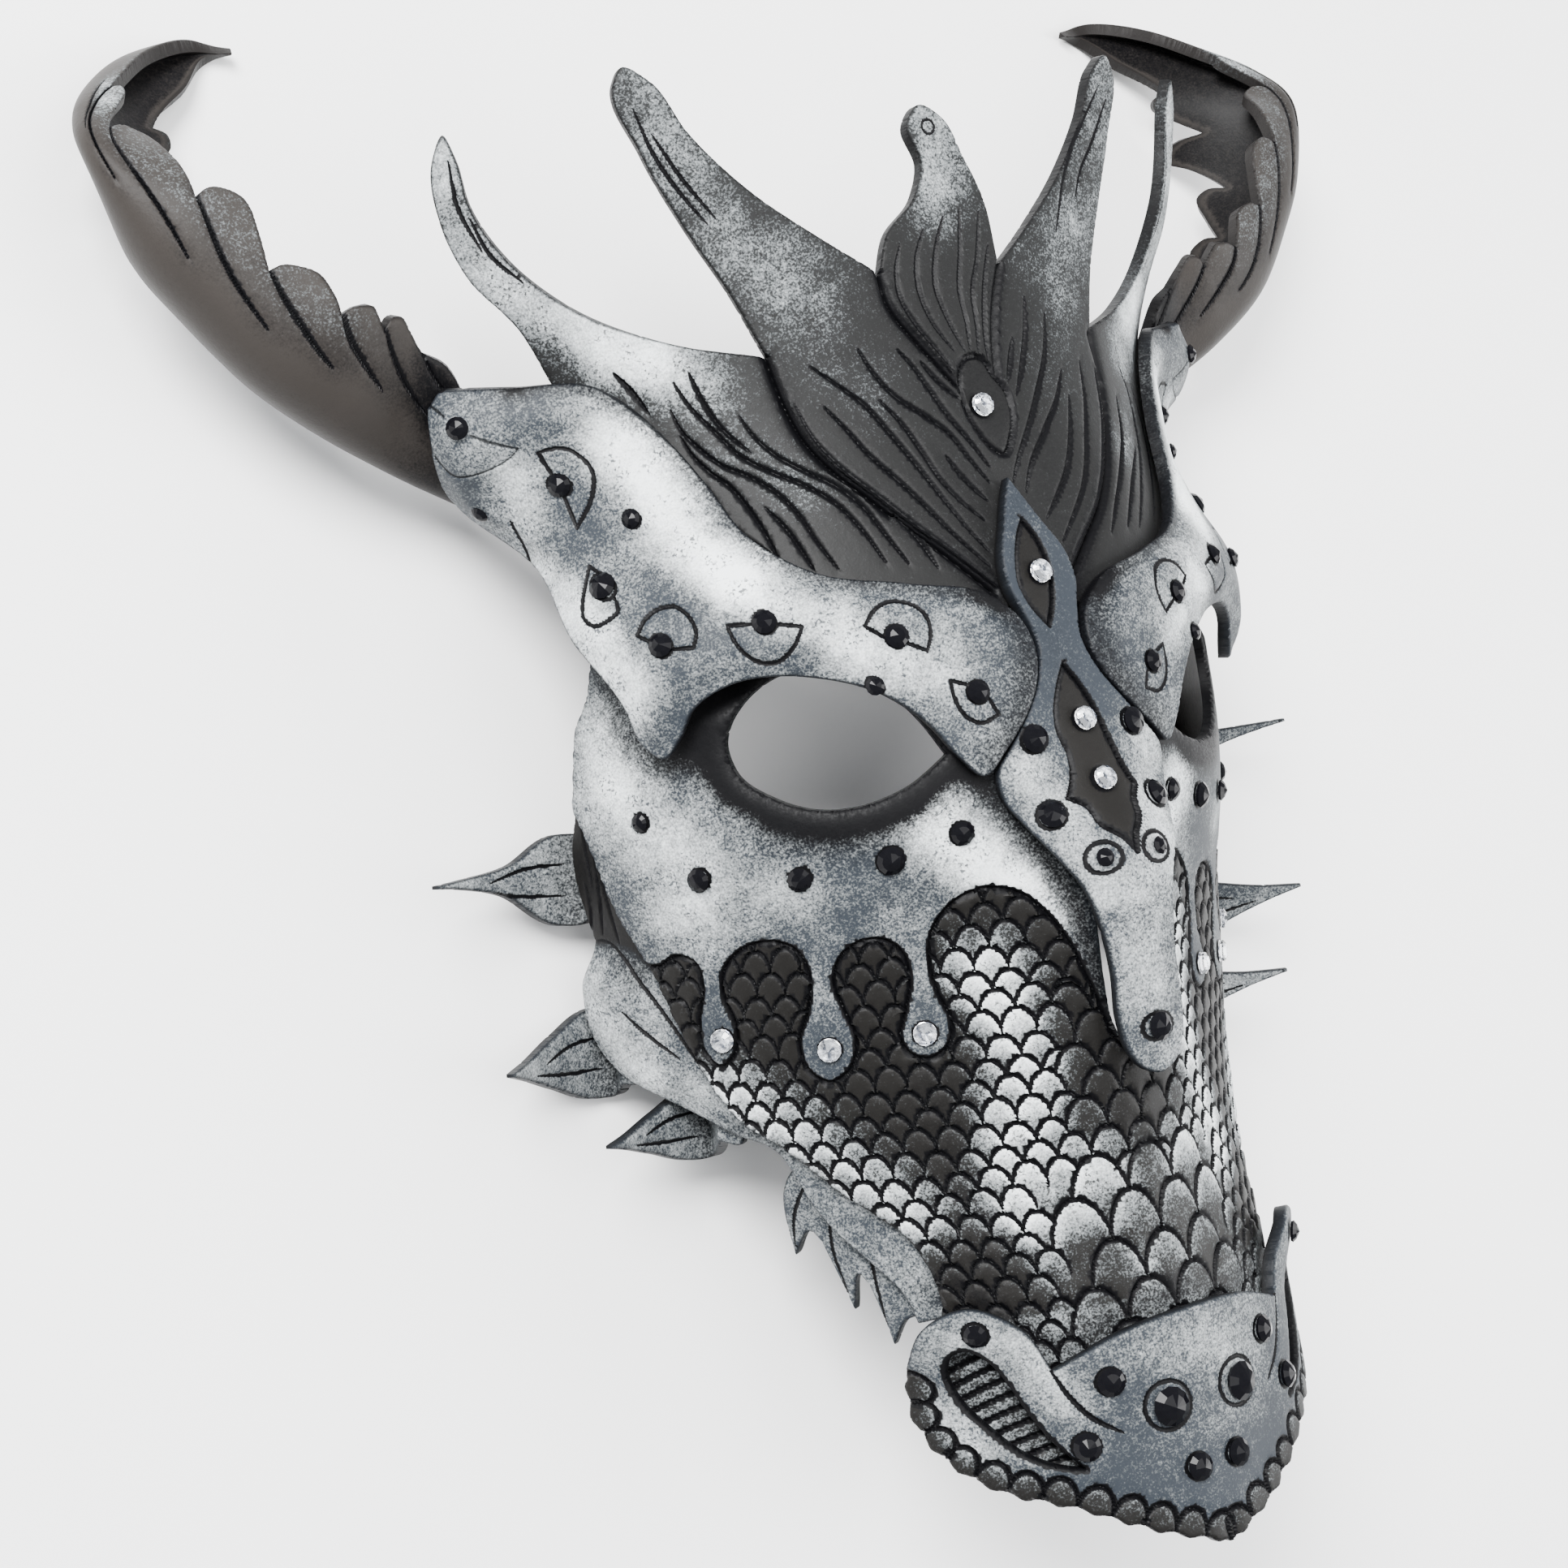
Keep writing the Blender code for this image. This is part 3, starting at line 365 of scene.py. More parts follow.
GROOVE_RIGHT = (
    (43.6, 84.5), (44, 76.4), (42, 67.5), (36, 57.5), (28, 48.1), (17.9, 39.5), (10.4, 32),
)
GROOVE_MIDDLE = ((-16, 101), (-15.3, 94.1), (-11, 86.4), (-7, 80.4), (-4.1, 75.6))
GROOVE_BULB = ((16, 101), (12, 92.8), (8.9, 84.3), (6.9, 77))
RIGHT_SPIKE_LINES = (
    ((61, 141), (54.5, 134), (48.3, 127), (43.2, 119.9), (40.1, 113.5), (37.1, 107.7)),
    ((63.5, 138), (55.3, 127.1), (50.4, 121.8), (46.6, 115.3)),
)
SPIKE_LINES = (
    ((-64.2, 139.5), (-61.2, 130), (-55.6, 119.8), (-52, 114.6)),
    ((-61, 134), (-56, 124.6), (-50, 115.5)),
    ((-103.5, 133), (-103, 124), (-99.2, 114.6)),
    ((-100.8, 121.5), (-97.8, 114), (-92, 107.6)),
)
BROW_CARVING = (
    ((-118.9, 87), (-114.4, 84.2)), ((-109.5, 80.7), (-101.6, 75.8)),
    ((-118.9, 87), (-119, 83), (-119.3, 79.2), (-117.2, 76.4), (-111.7, 73.9), (-107, 73.8),
     (-103.6, 74.6), (-101.5, 75.8)),
    ((-98.4, 73.6), (-97.7, 67.8)), ((-97.3, 62.7), (-97.3, 55.9)),
    ((-98.4, 73.6), (-95.8, 73.6), (-93, 72.9), (-90.8, 70.8), (-89.9, 67.1), (-90.9, 63.7),
     (-93.1, 60.1), (-97.3, 55.9)),
    ((-111.3, 59), (-112.4, 54.8), (-113.8, 50)),
    ((-95.3, 45.9), (-97.2, 47.9)),
    ((-97.2, 47.9), (-99.1, 44.5), (-101, 40.3), (-101.5, 37.4), (-99.7, 35.6), (-96.4, 36.2),
     (-93.2, 38.5), (-93.5, 40.7)),
    ((-87.5, 30.3), (-90.8, 32.5)),
    ((-90.8, 32.5), (-88, 35.6), (-84.6, 37.3), (-81.1, 37.3), (-78.9, 34.8), (-78.4, 31.8),
     (-79.7, 28.6)),
    ((-79.7, 28.6), (-84.8, 28.8)),
    ((-67.1, 31.8), (-71.8, 32)),
    ((-71.8, 32), (-71.3, 29.1), (-70, 26.4), (-67.3, 24), (-64, 23.4), (-60.3, 25.4),
     (-56.9, 29.9)),
    ((-56.9, 29.9), (-61.9, 31.1)),
    ((-40.6, 25.1), (-44.4, 28.2)),
    ((-44.4, 28.2), (-42, 30.9), (-38.7, 32.4), (-35.8, 32.3), (-32.8, 30.8), (-31, 27.6),
     (-31.3, 24.3), (-32.6, 21.5)),
    ((-32.6, 21.5), (-36.7, 23.7)),
    ((-25.8, 13.5), (-29.1, 14.8)),
    ((-29.1, 14.8), (-28.8, 10.8), (-27.4, 7.3), (-24.1, 5.2), (-20, 6.4)),
    ((-20, 6.4), (-21.4, 9.7)),
)
EAR_LINE = ((-121.4, 86), (-118, 88.2), (-114, 88.4))
SNOUT_LINE = ((-30.9, -129.4), (-28.1, -135.6), (-24.8, -140.2), (-19.3, -144.4))
JAW_CARVING = (
    ((-120.6, -34.1), (-114, -33.4), (-109, -36.5), (-102.7, -43.5), (-97, -51.2),
     (-91.3, -60.3), (-86.1, -69)),
    ((-108, -48.4), (-101.4, -54.5), (-94.9, -59.9)),
    ((-119.7, -20), (-118.4, -27), (-118.6, -32.4)),
    ((-116, -14), (-115, -24.2), (-114.7, -32)),
    ((-116, -8), (-113.3, -22), (-109.5, -34)),
    ((-119, -5), (-118.5, -14.8), (-117.2, -21)),
)
FRILL_CARVING = (
    ((-72, -88), (-80, -98), (-83, -104)), ((-69, -94), (-73, -106), (-73.5, -114)),
    ((-62, -100), (-65, -112), (-66, -120)), ((-57, -104), (-54, -112)),
)
DIAMOND = (
    (0.2, 44.6, 1), (-2.6, 41), (-5, 36.3), (-6.2, 31.3), (-5, 26.7), (-1.6, 21.6, 1),
    (1.2, 26), (2.8, 30.8), (3.3, 36), (2.2, 41),
)
KITE = (
    (-0.8, 13.8, 1), (-4, 9.1), (-6.4, 3.1), (-6.6, -0.7), (-5.8, -4.8), (-6.3, -9.3),
    (-8.2, -13.4, 1), (-5.2, -15.8), (-3.8, -19.8), (-1, -22.9), (0.8, -26.2, 1), (2, -22.6),
    (4.4, -19.4), (5.6, -15.8), (8, -13.2, 1), (6.2, -8.4), (5.2, -3), (4, 3.6), (2, 9),
)
# Brow stones: u, v, radius
BROW_STONES = (
    (-38.5, 25.3, STONE_MEDIUM), (-64.2, 31.7, STONE_MEDIUM), (-86.3, 29.8, STONE_MEDIUM),
    (-95.3, 43.2, STONE_LARGE), (-84.6, 56.3, STONE_SMALL), (-23.7, 11.6, STONE_MEDIUM),
    (-45.3, 15.9, STONE_SMALL), (-97.1, 65.4, STONE_MEDIUM), (-111.6, 82.2, STONE_MEDIUM),
    (-117, 62.2, STONE_SMALL),
)

# Strokes of airbrushed paint, painted highlights and painted shade: points, half width, strength,
# and 1 for a closed line
# Airbrushed black round and under the eye holes, with painted shade: the brow hook's shadow on the
# cheek, the shade under the brow's lower edge and the strap's shadow along its side; darker also
# above the scale field and along the face's edge by the jaw
FACE_SHADE = (
    (EYE_HOLE, 4.6, 1.1, 1),
    (EYE_HOLE, 11.0, 0.42, 1),
    (((-84, 10), (-80, 4), (-77, -2)), 5, 0.5),
    (((-66, -10), (-52, -13), (-40, -10)), 8, 0.55),
    (((-108, 34), (-101, 20), (-97, 10), (-90, 5), (-84, 12), (-76, 18)), 6.0, 0.8),
    (((-26, -3), (-20, -13), (-15, -22), (-10, -33), (-7, -48), (-6, -62)), 4.6, 0.95),
    (((-44, -30), (-36, -28), (-30, -22)), 6, 0.3),
    (((-113, -12), (-108, -25), (-101, -36)), 3, 0.4),
)
# Painted highlights where light falls on the cheeks and beside the nose, over the silver paint
FACE_LIGHT = (
    (((-100, -2), (-94, -14), (-88, -26)), 11, 0.34),
    (((-35, -14), (-28, -21), (-22, -27)), 6.5, 0.75),
    (((-17, -29), (-13, -38)), 3.5, 0.6),
    (((-104, 16), (-106, 2)), 7, 0.3),
    (((-70, -24), (-60, -27)), 7, 0.15),
)
# Painted highlights on the scales where light falls: down the ridge of the muzzle, over the lower
# cheek and down the snout, on top of the silver brushed on their crowns
FIELD_LIGHT = (
    (((-27, -46), (-24, -56), (-23, -70), (-26, -84), (-29, -96)), 7.5, 1.0),
    (((-84, -67), (-72, -75), (-60, -85), (-50, -96)), 8, 0.78),
    (((-12, -88), (-9, -100), (-7, -110)), 9, 0.36),
    (((-14, -92), (-22, -104), (-24, -112)), 7, 0.36),
)
# Painted shade on the scale field: down the side of the muzzle, beside the strap's tongue, the
# shadow under the snout plate's top edge and round the nostrils
FIELD_SHADE = (
    (((-40, -66), (-40, -76), (-38, -86), (-35, -96)), 5.5, 0.45),
    (((-5, -64), (-5, -76), (-3, -86)), 5, 0.5),
    (((-44, -110), (-36, -119), (-30, -125), (-15, -121), (0, -119)), 3.4, 0.9),
    (((-49, -125), (-44, -132), (-38, -141), (-30, -149)), 8, 0.35),
)
# Painted shade on the brow, over its airbrushed black: where its inner end rolls down beside the
# strap, along its rolled upper rim, along its lower edge over the eye and along the ear's top
BROW_SHADE = (
    (((-12, 30), (-9, 22), (-10, 14), (-15, 4), (-21, -3)), 8, 0.85),
    (((-14, 31), (-33, 36), (-51, 41), (-64, 52), (-70, 63), (-75, 72), (-84, 84), (-100, 87)),
     3.4, 0.8),
    (((-74, 20), (-64, 20.5), (-56, 19), (-45, 14.5), (-36, 6.5)), 2.2, 0.45),
    (((-100, 87), (-112, 90)), 3.5, 0.5),
)
# Painted highlights where light falls on the brow: its ridge, its inner part, its outer edge and
# its ear
BROW_LIGHT = (
    (((-82, 72), (-78, 60), (-74, 50), (-68, 42)), 7, 0.8),
    (((-68, 42), (-60, 34), (-48, 30)), 6, 0.35),
    (((-96, 20), (-101, 34), (-110, 48)), 6, 0.5),
    (((-50, 24), (-40, 19), (-32, 17)), 6, 0.4),
    (((-104, 70), (-108, 60)), 6, 0.3),
)
CREST_LIGHT = (
    (((-105, 137), (-105, 124), (-99, 110), (-84, 99), (-70, 90)), 8, 0.5),
    (((-78, 90), (-68, 86), (-60, 82)), 8, 0.42),
    (((-66, 147), (-61, 136), (-54, 122), (-44, 110), (-34, 102)), 11, 0.28),
    (((-38, 92), (-32, 84), (-24, 76)), 10, 0.10),
    (((-56, 66), (-46, 58)), 7, 0.2),
)
# Painted shade on the crest: under the brows' rolled rim along its base, in the grooves and beside
# the strap
CREST_SHADE = (
    (((-86, 76), (-79, 60), (-71, 46), (-54, 34), (-33, 29), (-13, 25)), 5, 0.85),
    (GROOVE_LEFT, 3.6, 0.85),
    (((-14, 60), (-10, 46), (-8, 38)), 7, 0.35),
)
MIDDLE_LIGHT = ((((4, 136), (4, 126), (2, 118)), 9, 0.46),)
# Painted shade in the grooves beside the middle spike and its bulb
MIDDLE_SHADE = (
    (GROOVE_MIDDLE, 3.2, 0.8),
    (GROOVE_BULB, 3.0, 0.8),
)
STRAP_LIGHT = (
    (((-15, -6), (-10, -18), (-6, -30)), 5, 0.26),
    (((15, -4), (10, -18), (6, -30)), 6, 0.30),
    (((0, -36), (0, -52), (1, -68)), 5, 0.22),
)
PLATE_LIGHT = (
    (((-46, -121), (-36, -124), (-30, -133)), 5, 0.25),
    (((-56, -136), (-50, -144)), 4, 0.25),
    (((-14, -130), (14, -130)), 7, 0.12),
    (((-26, -154), (0, -160), (26, -154)), 8, -0.12),
)
STRAP_SHADE = ((((0, 52), (0, 34), (-2, 20), (-2, 8)), 8, 0.35),)
# Painted shade on the frill where it goes under the jaw strip
FRILL_SHADE = ((((-66, -88), (-56, -100), (-50, -112)), 7, 0.9),)
JAW_LIGHT = (
    (((-118, -44), (-112, -54), (-104, -62)), 5, 0.3),
    (((-66, -82), (-58, -92)), 3.5, 0.4),
)
JAW_SHADE = (
    (((-116, -4), (-118, -16), (-114, -30), (-104, -40)), 6.5, 0.75),
    (((-84, -76), (-76, -80)), 5, 0.55),
    (((-52, -112), (-46, -114)), 6, 0.6),
)


def settings():
    return bpy.context.scene.mask_sizes


def colours():
    return bpy.context.scene.mask_colours


def stations(table, column, at):
    """Smooth value of a table's column at each height."""
    x = np.array([row[0] for row in table], float)
    y = np.array([row[column] for row in table], float)
    step = np.diff(x)
    slope = np.diff(y) / step
    tangent = np.zeros(len(x))
    tangent[1:-1] = (slope[:-1] * step[1:] + slope[1:] * step[:-1]) / (step[1:] + step[:-1])
    tangent[0] = slope[0]
    tangent[-1] = slope[-1]
    at = np.clip(np.asarray(at, float), x[0], x[-1])
    i = np.clip(np.searchsorted(x, at) - 1, 0, len(x) - 2)
    h = step[i]
    t = (at - x[i]) / h
    a = (2 * t ** 3 - 3 * t ** 2 + 1) * y[i] + (t ** 3 - 2 * t ** 2 + t) * h * tangent[i]
    b = (3 * t ** 2 - 2 * t ** 3) * y[i + 1] + (t ** 3 - t ** 2) * h * tangent[i + 1]
    return a + b


def ease(t):
    """Smooth step from 0 to 1."""
    t = np.clip(t, 0.0, 1.0)
    return t * t * (3 - 2 * t)


def bell(t):
    return np.exp(-t * t)


def face_base(u, v):
    """Point of the face form: a section of a cylinder with a ridge down its middle."""
    radius = stations(FACE_SECTIONS, 1, v)
    angle = u / radius
    x = radius * np.sin(angle)
    z = stations(FACE_SECTIONS, 2, v) - radius * (1 - np.cos(angle))
    z = z + stations(FACE_SECTIONS, 3, v) * bell(x / stations(FACE_SECTIONS, 4, v))
    return np.stack([x, v, z], -1)


def brow_base(u, v):
    """Point of the brow form, which swells out over the eye."""
    radius = stations(BROW_SECTIONS, 1, v)
    angle = u / radius
    z = stations(BROW_SECTIONS, 2, v) - radius * (1 - np.cos(angle))
    return np.stack([radius * np.sin(angle), v + 0 * u, z], -1)


def raised(base, u, v, height):
    """Points at a height over a form, along its normal."""
    u = np.asarray(u, float)
    v = np.asarray(v, float)
    point = base(u, v)
    across = base(u + PROBE, v) - base(u - PROBE, v)
    along = base(u, v + PROBE) - base(u, v - PROBE)
    normal = np.cross(across, along)
    normal = normal / np.linalg.norm(normal, axis=-1, keepdims=True)
    return point + normal * np.asarray(height, float)[..., None]


def mm(size):
    return size / MM


def layer_step():
    return mm(LEATHER + LAYER_GAP)


def face_form(u, v, t):
    """The face, which steps down one layer under the crest."""
    drop = layer_step() * ease((v - 12) / 10)
    return raised(face_base, u, v, mm(LEATHER) * (t - 1) - drop)


def crest_form(u, v, t):
    """The crest, whose outer spikes curl back."""
    curl = mm(SPIKE_CURL) * ease((v - 108) / 34) * ease((np.abs(u) - 90) / 14)
    return raised(face_base, u, v, mm(LEATHER) * (t - 1) - curl)


def outline_distance(u, v, loop):
    """Distance from each point to a closed outline."""
    p = np.stack([u, v], -1)
    best = np.full(len(u), 1e9)
    for a, b in zip(loop, loop[1:] + loop[:1]):
        a = np.array(a[:2])
        d = np.array(b[:2]) - a
        s = np.clip(((p - a) @ d) / max(d @ d, 1e-9), 0, 1)
        best = np.minimum(best, np.linalg.norm(p - a - s[:, None] * d, axis=1))
    return best


def brow_form(u, v, t):
    """The brow, swollen over the eye, with its rim rolled down onto the layer under it."""
    side = np.abs(u)
    roll = 1 - ease(outline_distance(u, v, smooth_loop(brow_outline(), 4.0)) / mm(BROW_ROLL))
    ear = ease((side - 86) / 34) * ease((v - 48) / 28) * (1 - 0.5 * ease((v - 76) / 14))
    height = -mm(BROW_SINK) - mm(BROW_DROP) * roll + mm(EAR_FLARE) * ear
    inner = raised(brow_base, u, v, height)
    outer = raised(brow_base, u, v, height + mm(LEATHER) * t)
    radius = stations(FACE_SECTIONS, 1, inner[:, 1])
    across = np.clip(inner[:, 0] / radius, -0.93, 0.93)
    under = face_base(radius * np.arcsin(across), inner[:, 1])
    room = under[:, 2] + 2 * mm(LAYER_GAP) / np.sqrt(1 - across ** 2) - inner[:, 2]
    room = np.where(np.abs(inner[:, 0] / radius) < 0.93, np.maximum(room, 0), 0)
    outer[:, 2] = outer[:, 2] + room
    return outer


def strap_form(u, v, t):
    """The nose strap, which lies on the face and ends in a free tongue."""
    rise = mm(TONGUE_RISE) * ease((-9 - v) / 20)
    return raised(face_base, u, v, mm(LAYER_GAP) + mm(LEATHER) * t + rise)


def plate_form(u, v, t):
    """The snout plate, with lobes that flare away from the muzzle."""
    flare = mm(LOBE_FLARE) * ease((v + 132) / 16) * ease((np.abs(u) - 28) / 12)
    return raised(face_base, u, v, mm(LAYER_GAP) + mm(LEATHER) * t + flare)


def jaw_form(u, v, t):
    """The jaw strip, one layer behind the face, with a swollen leaf."""
    side = np.abs(u)
    leaf = ease((side - 100 - 0.47 * (v + 38)) / 15) * ease((v + 76) / 14) * ease((-34 - v) / 9)
    height = mm(LEATHER) * (t - 1) - layer_step() + mm(LEAF_BULGE) * leaf
    return raised(face_base, u, v, height)


def frill_form(u, v, t):
    """The frill behind the jaw strip."""
    height = mm(SPIKE_LEATHER) * (t - 1) - 2 * layer_step()
    return raised(face_base, u, v, height)


def smooth_rail(points, s):
    """Points along a smooth curve through the rail's points, for s from 0 to 1."""
    rows = [(i / (len(points) - 1),) + tuple(p) for i, p in enumerate(points)]
    return np.stack([stations(rows, k, s) for k in (1, 2, 3)], -1)


def horn_middle(s, w):
    """Middle of the horn strip, a parabola through the front rim, the spine and the rear rim."""
    front = smooth_rail(HORN_FRONT, s / 100)
    spine = smooth_rail(HORN_SPINE, s / 100)
    rear = smooth_rail(HORN_REAR, s / 100)
    w = (w / mm(HORN_WIDTH))[:, None]
    return front * (1 - w) * (1 - 2 * w) + spine * 4 * w * (1 - w) + rear * w * (2 * w - 1)


def horn_form(s, w, t):
    """The horn strip: s runs from root to tip (0 to 100), w from the front rim to the rear."""
    at = np.clip(s, 0.5, 96)
    along = horn_middle(at + PROBE, w) - horn_middle(at - PROBE, w)
    across = horn_middle(at, w + PROBE) - horn_middle(at, w - PROBE)
    normal = np.cross(across, along)
    normal = normal / np.linalg.norm(normal, axis=-1, keepdims=True)
    return horn_middle(s, w) + normal * (mm(HORN_LEATHER) * (t - 0.5))[:, None]


def smooth_loop(points, step):
    """Closed outline through the points, as short straight edges; corners stay sharp."""
    count = len(points)
    place = [np.array(p[:2], float) for p in points]
    sharp = [len(p) > 2 and p[2] == 1 for p in points]

    def tangent(i, towards):
        before = place[i] - place[i - 1]
        after = place[(i + 1) % count] - place[i]
        if sharp[i]:
            side = after if towards > 0 else before
            return side / np.linalg.norm(side)
        a = np.linalg.norm(before)
        b = np.linalg.norm(after)
        return (before / a * b + after / b * a) / (a + b)

    loop = []
    for i in range(count):
        j = (i + 1) % count
        length = np.linalg.norm(place[j] - place[i])
        cuts = max(1, ceil(length / step))
        for k in range(cuts):
            t = k / cuts
            h = (2 * t ** 3 - 3 * t ** 2 + 1, 3 * t ** 2 - 2 * t ** 3)
            g = (t ** 3 - 2 * t ** 2 + t, t ** 3 - t ** 2)
            point = h[0] * place[i] + h[1] * place[j]
            point = point + length * (g[0] * tangent(i, 1) + g[1] * tangent(j, -1))
            loop.append((float(point[0]), float(point[1])))
    return loop


def open_path(points, step):
    """Evenly spaced points along a smooth open line."""
    run = np.linalg.norm(np.diff(np.array(points, float), axis=0), axis=1)
    run = np.concatenate([[0.0], np.cumsum(run)])
    rows = [(at,) + tuple(p) for at, p in zip(run, points)]
    at = np.linspace(0, run[-1], 1 + ceil(run[-1] / step))
    return np.stack([stations(rows, 1, at), stations(rows, 2, at)], -1)


def both_halves(half):
    """Whole outline from its left half, which starts and ends on the middle line."""
    right = [(-p[0],) + tuple(p[1:]) for p in half[1:-1]]
    return list(half) + right[::-1]


def mirrored(points):
    return [(-p[0],) + tuple(p[1:]) for p in points]


def strap_half(v):
    return float(stations(sorted(STRAP_HALF_WIDTHS), 1, v))


def brow_outline():
    inner = [(-strap_half(v) - mm(SIDE_GAP) * (1 + ease((8 - v) / 9)), v) for v in BROW_INNER]
    inner[0] = (inner[0][0] - 4, inner[0][1])
    return inner[::-1] + list(BROW_OUTLINE)


def crest_outline():
    """The crest's base, two spikes a side and the hooked middle spike."""
    longer = []
    for u, v, *corner in CREST_OUTER_SPIKE:
        rise = float(ease((v - 100) / 38)) * mm(RIGHT_SPIKE_RISE)
        longer.append((u - 0.3 * rise, v + rise, *corner))
    left = list(CREST_BASE) + list(CREST_OUTER_SPIKE) + list(CREST_INNER_SPIKE)
    right = mirrored(list(CREST_BASE[1:]) + longer + list(CREST_INNER_SPIKE))
    return left + list(CREST_MIDDLE_SPIKE) + right[::-1]


def strap_outline():
    left = [(-half, v) for v, half in STRAP_HALF_WIDTHS]
    left[0] = left[0] + (1,)
    return both_halves(left)


def slot_outline():
    left = [(u * mm(NOSE_SLOT_HALF), v) for u, v in NOSE_SLOT]
    return both_halves(left)


def plate_outline():
    """Snout plate: a smooth top edge and a rim of half-round scales."""
    path = open_path(PLATE_RIM, 0.5)
    teeth = SCALLOPS * 3
    rim = []
    for k in range(teeth):
        i = 1 + int((len(path) - 2) * (k + 0.5) / teeth)
        step = path[i] - path[i - 1]
        outward = np.array((step[1], -step[0])) / np.linalg.norm(step)
        push = mm(SCALLOP_DEPTH) * (0.3 if k % 3 == 1 else -0.25)
        u, v = path[i] + outward * push
        rim.append((float(u), float(v)))
    left = list(PLATE_TOP[:-1]) + [PLATE_TOP[-1] + (1,)] + rim + [PLATE_RIM[-1]]
    return both_halves(left)


def horn_outline():
    """Flat pattern of a horn: a long leaf with six lobes along both rims."""
    width = mm(HORN_WIDTH)
    front = [(0, 11), (1.2, 4), (4.5, 0.6), (HORN_NOTCHES[0], 0, 1)]
    for a, b, high in zip(HORN_NOTCHES[:-1], HORN_NOTCHES[1:], HORN_LOBES):
        front.append((a + 0.35 * (b - a), -0.6 * high))
        front.append((a + 0.72 * (b - a), -high))
        front.append((a + 0.96 * (b - a), -0.62 * high))
        front.append((b, 0, 1))
    front.extend([(84, 0), (99, 0.3 * width, 1)])
    rear = [(p[0], width - p[1]) + tuple(p[2:]) for p in front]
    return front + rear[::-1]


class Carving:
    """Lines pressed into a flat pattern, with their ink."""

    def __init__(self, stretch=(1.0, 1.0)):
        self.stretch = np.array(stretch)
        self.place = []
        self.out = []
        self.half = []
        self.depth = []
        self.ink = []
        self.tree = None

    def line(self, points, half=0.42, depth=0.55, closed=False, bevel=0.0, taper=0.35, ink=1.0):
        """A smooth cut; a bevel lowers the leather on its left (+) or its right (-)."""
        if closed:
            track = np.array(smooth_loop(points, TRACK_STEP))
            track = np.vstack([track, track[:1]])
        else:
            track = open_path(points, TRACK_STEP)
        along = np.gradient(track, axis=0)
        along = along / np.maximum(np.linalg.norm(along, axis=1, keepdims=True), 1e-9)
        left = np.stack([-along[:, 1], along[:, 0]], -1)
        share = np.linspace(0, 1, len(track))
        thick = np.ones(len(track)) if closed else taper + (1 - taper) * np.sin(pi * share) ** 0.6
        self.add(track, left * bevel, half * thick, depth * thick, ink * np.ones(len(track)))

    def add(self, track, out, half, depth, ink):
        self.place.append(track)
        self.out.append(out)
        self.half.append(half)
        self.depth.append(depth)
        self.ink.append(ink)

    def close(self):
        """Gather the samples and make them searchable."""
        self.place = np.vstack(self.place)
        self.out = np.vstack(self.out)
        self.half = np.concatenate(self.half)
        self.depth = np.concatenate(self.depth)
        self.ink = np.concatenate(self.ink)
        self.tree = search_tree(self.place * self.stretch)

    def near(self, u, v):
        """Nearest sample to each point: its index and its distance."""
        return nearest(self.tree, np.stack([u, v], -1) * self.stretch)

    def press(self, u, v):
        """Height of the carved surface and the share of ink at each point."""
        index, distance = self.near(u, v)
        p = (np.stack([u, v], -1) - self.place[index]) * self.stretch
        half = self.half[index]
        strength = np.linalg.norm(self.out[index], axis=1)
        side = np.sum(p * self.out[index], axis=1) / np.maximum(strength, 1e-9)
        lower = (strength > 0) * ease((side + 0.2) / 0.4)
        height = -self.depth[index] * np.clip(1 - distance / (1.5 * half), 0, 1) ** 0.8
        height = height - lower * strength * np.exp(-(distance / BEVEL_REACH) ** 1.4)
        reach = half * (1 + 1.1 * lower)
        ink = self.ink[index] * (1 - ease((distance / reach - 0.75) / 0.5))
        return height, ink


def search_tree(points):
    tree = KDTree(len(points))
    for i, p in enumerate(points):
        tree.insert((p[0], p[1], 0.0), i)
    tree.balance()
    return tree


def nearest(tree, points):
    found = [tree.find((p[0], p[1], 0.0)) for p in points]
    index = np.array([f[1] for f in found])
    distance = np.array([f[2] for f in found])
    return index, distance


def line_distance(u, v, points, closed=False):
    """Distance from each point to a smooth line through the given points."""
    track = smooth_loop(points, 1.0) if closed else open_path(points, 1.0)
    return nearest(search_tree(track), np.stack([u, v], -1))[1]


def stroke(u, v, strokes):
    """Sum of soft strokes of airbrushed paint, painted highlight and painted shade: each has its
    points, its half width and its strength.
    """
    total = np.zeros(len(u))
    for points, width, strength, *rest in strokes:
        distance = line_distance(u, v, points, bool(rest and rest[0]))
        total = total + strength * bell(distance / width)
    return total


def both_sides(strokes):
    """The strokes and their mirror images."""
    return list(strokes) + [(mirrored(s[0]),) + tuple(s[1:]) for s in strokes]


def inside(u, v, loop):
    """Whether each point lies inside a closed outline."""
    result = np.zeros(len(u), bool)
    for a, b in zip(loop, loop[1:] + loop[:1]):
        rise = b[1] - a[1]
        if abs(rise) < 1e-12:
            continue
        crossing = (a[1] > v) != (b[1] > v)
        at = a[0] + (v - a[1]) * (b[0] - a[0]) / rise
        result ^= crossing & (u < at)
    return result


def set_values(mesh, name, values):
    layer = mesh.attributes.get(name) or mesh.attributes.new(name, "FLOAT", "POINT")
    layer.data.foreach_set("value", np.asarray(values, np.float32))


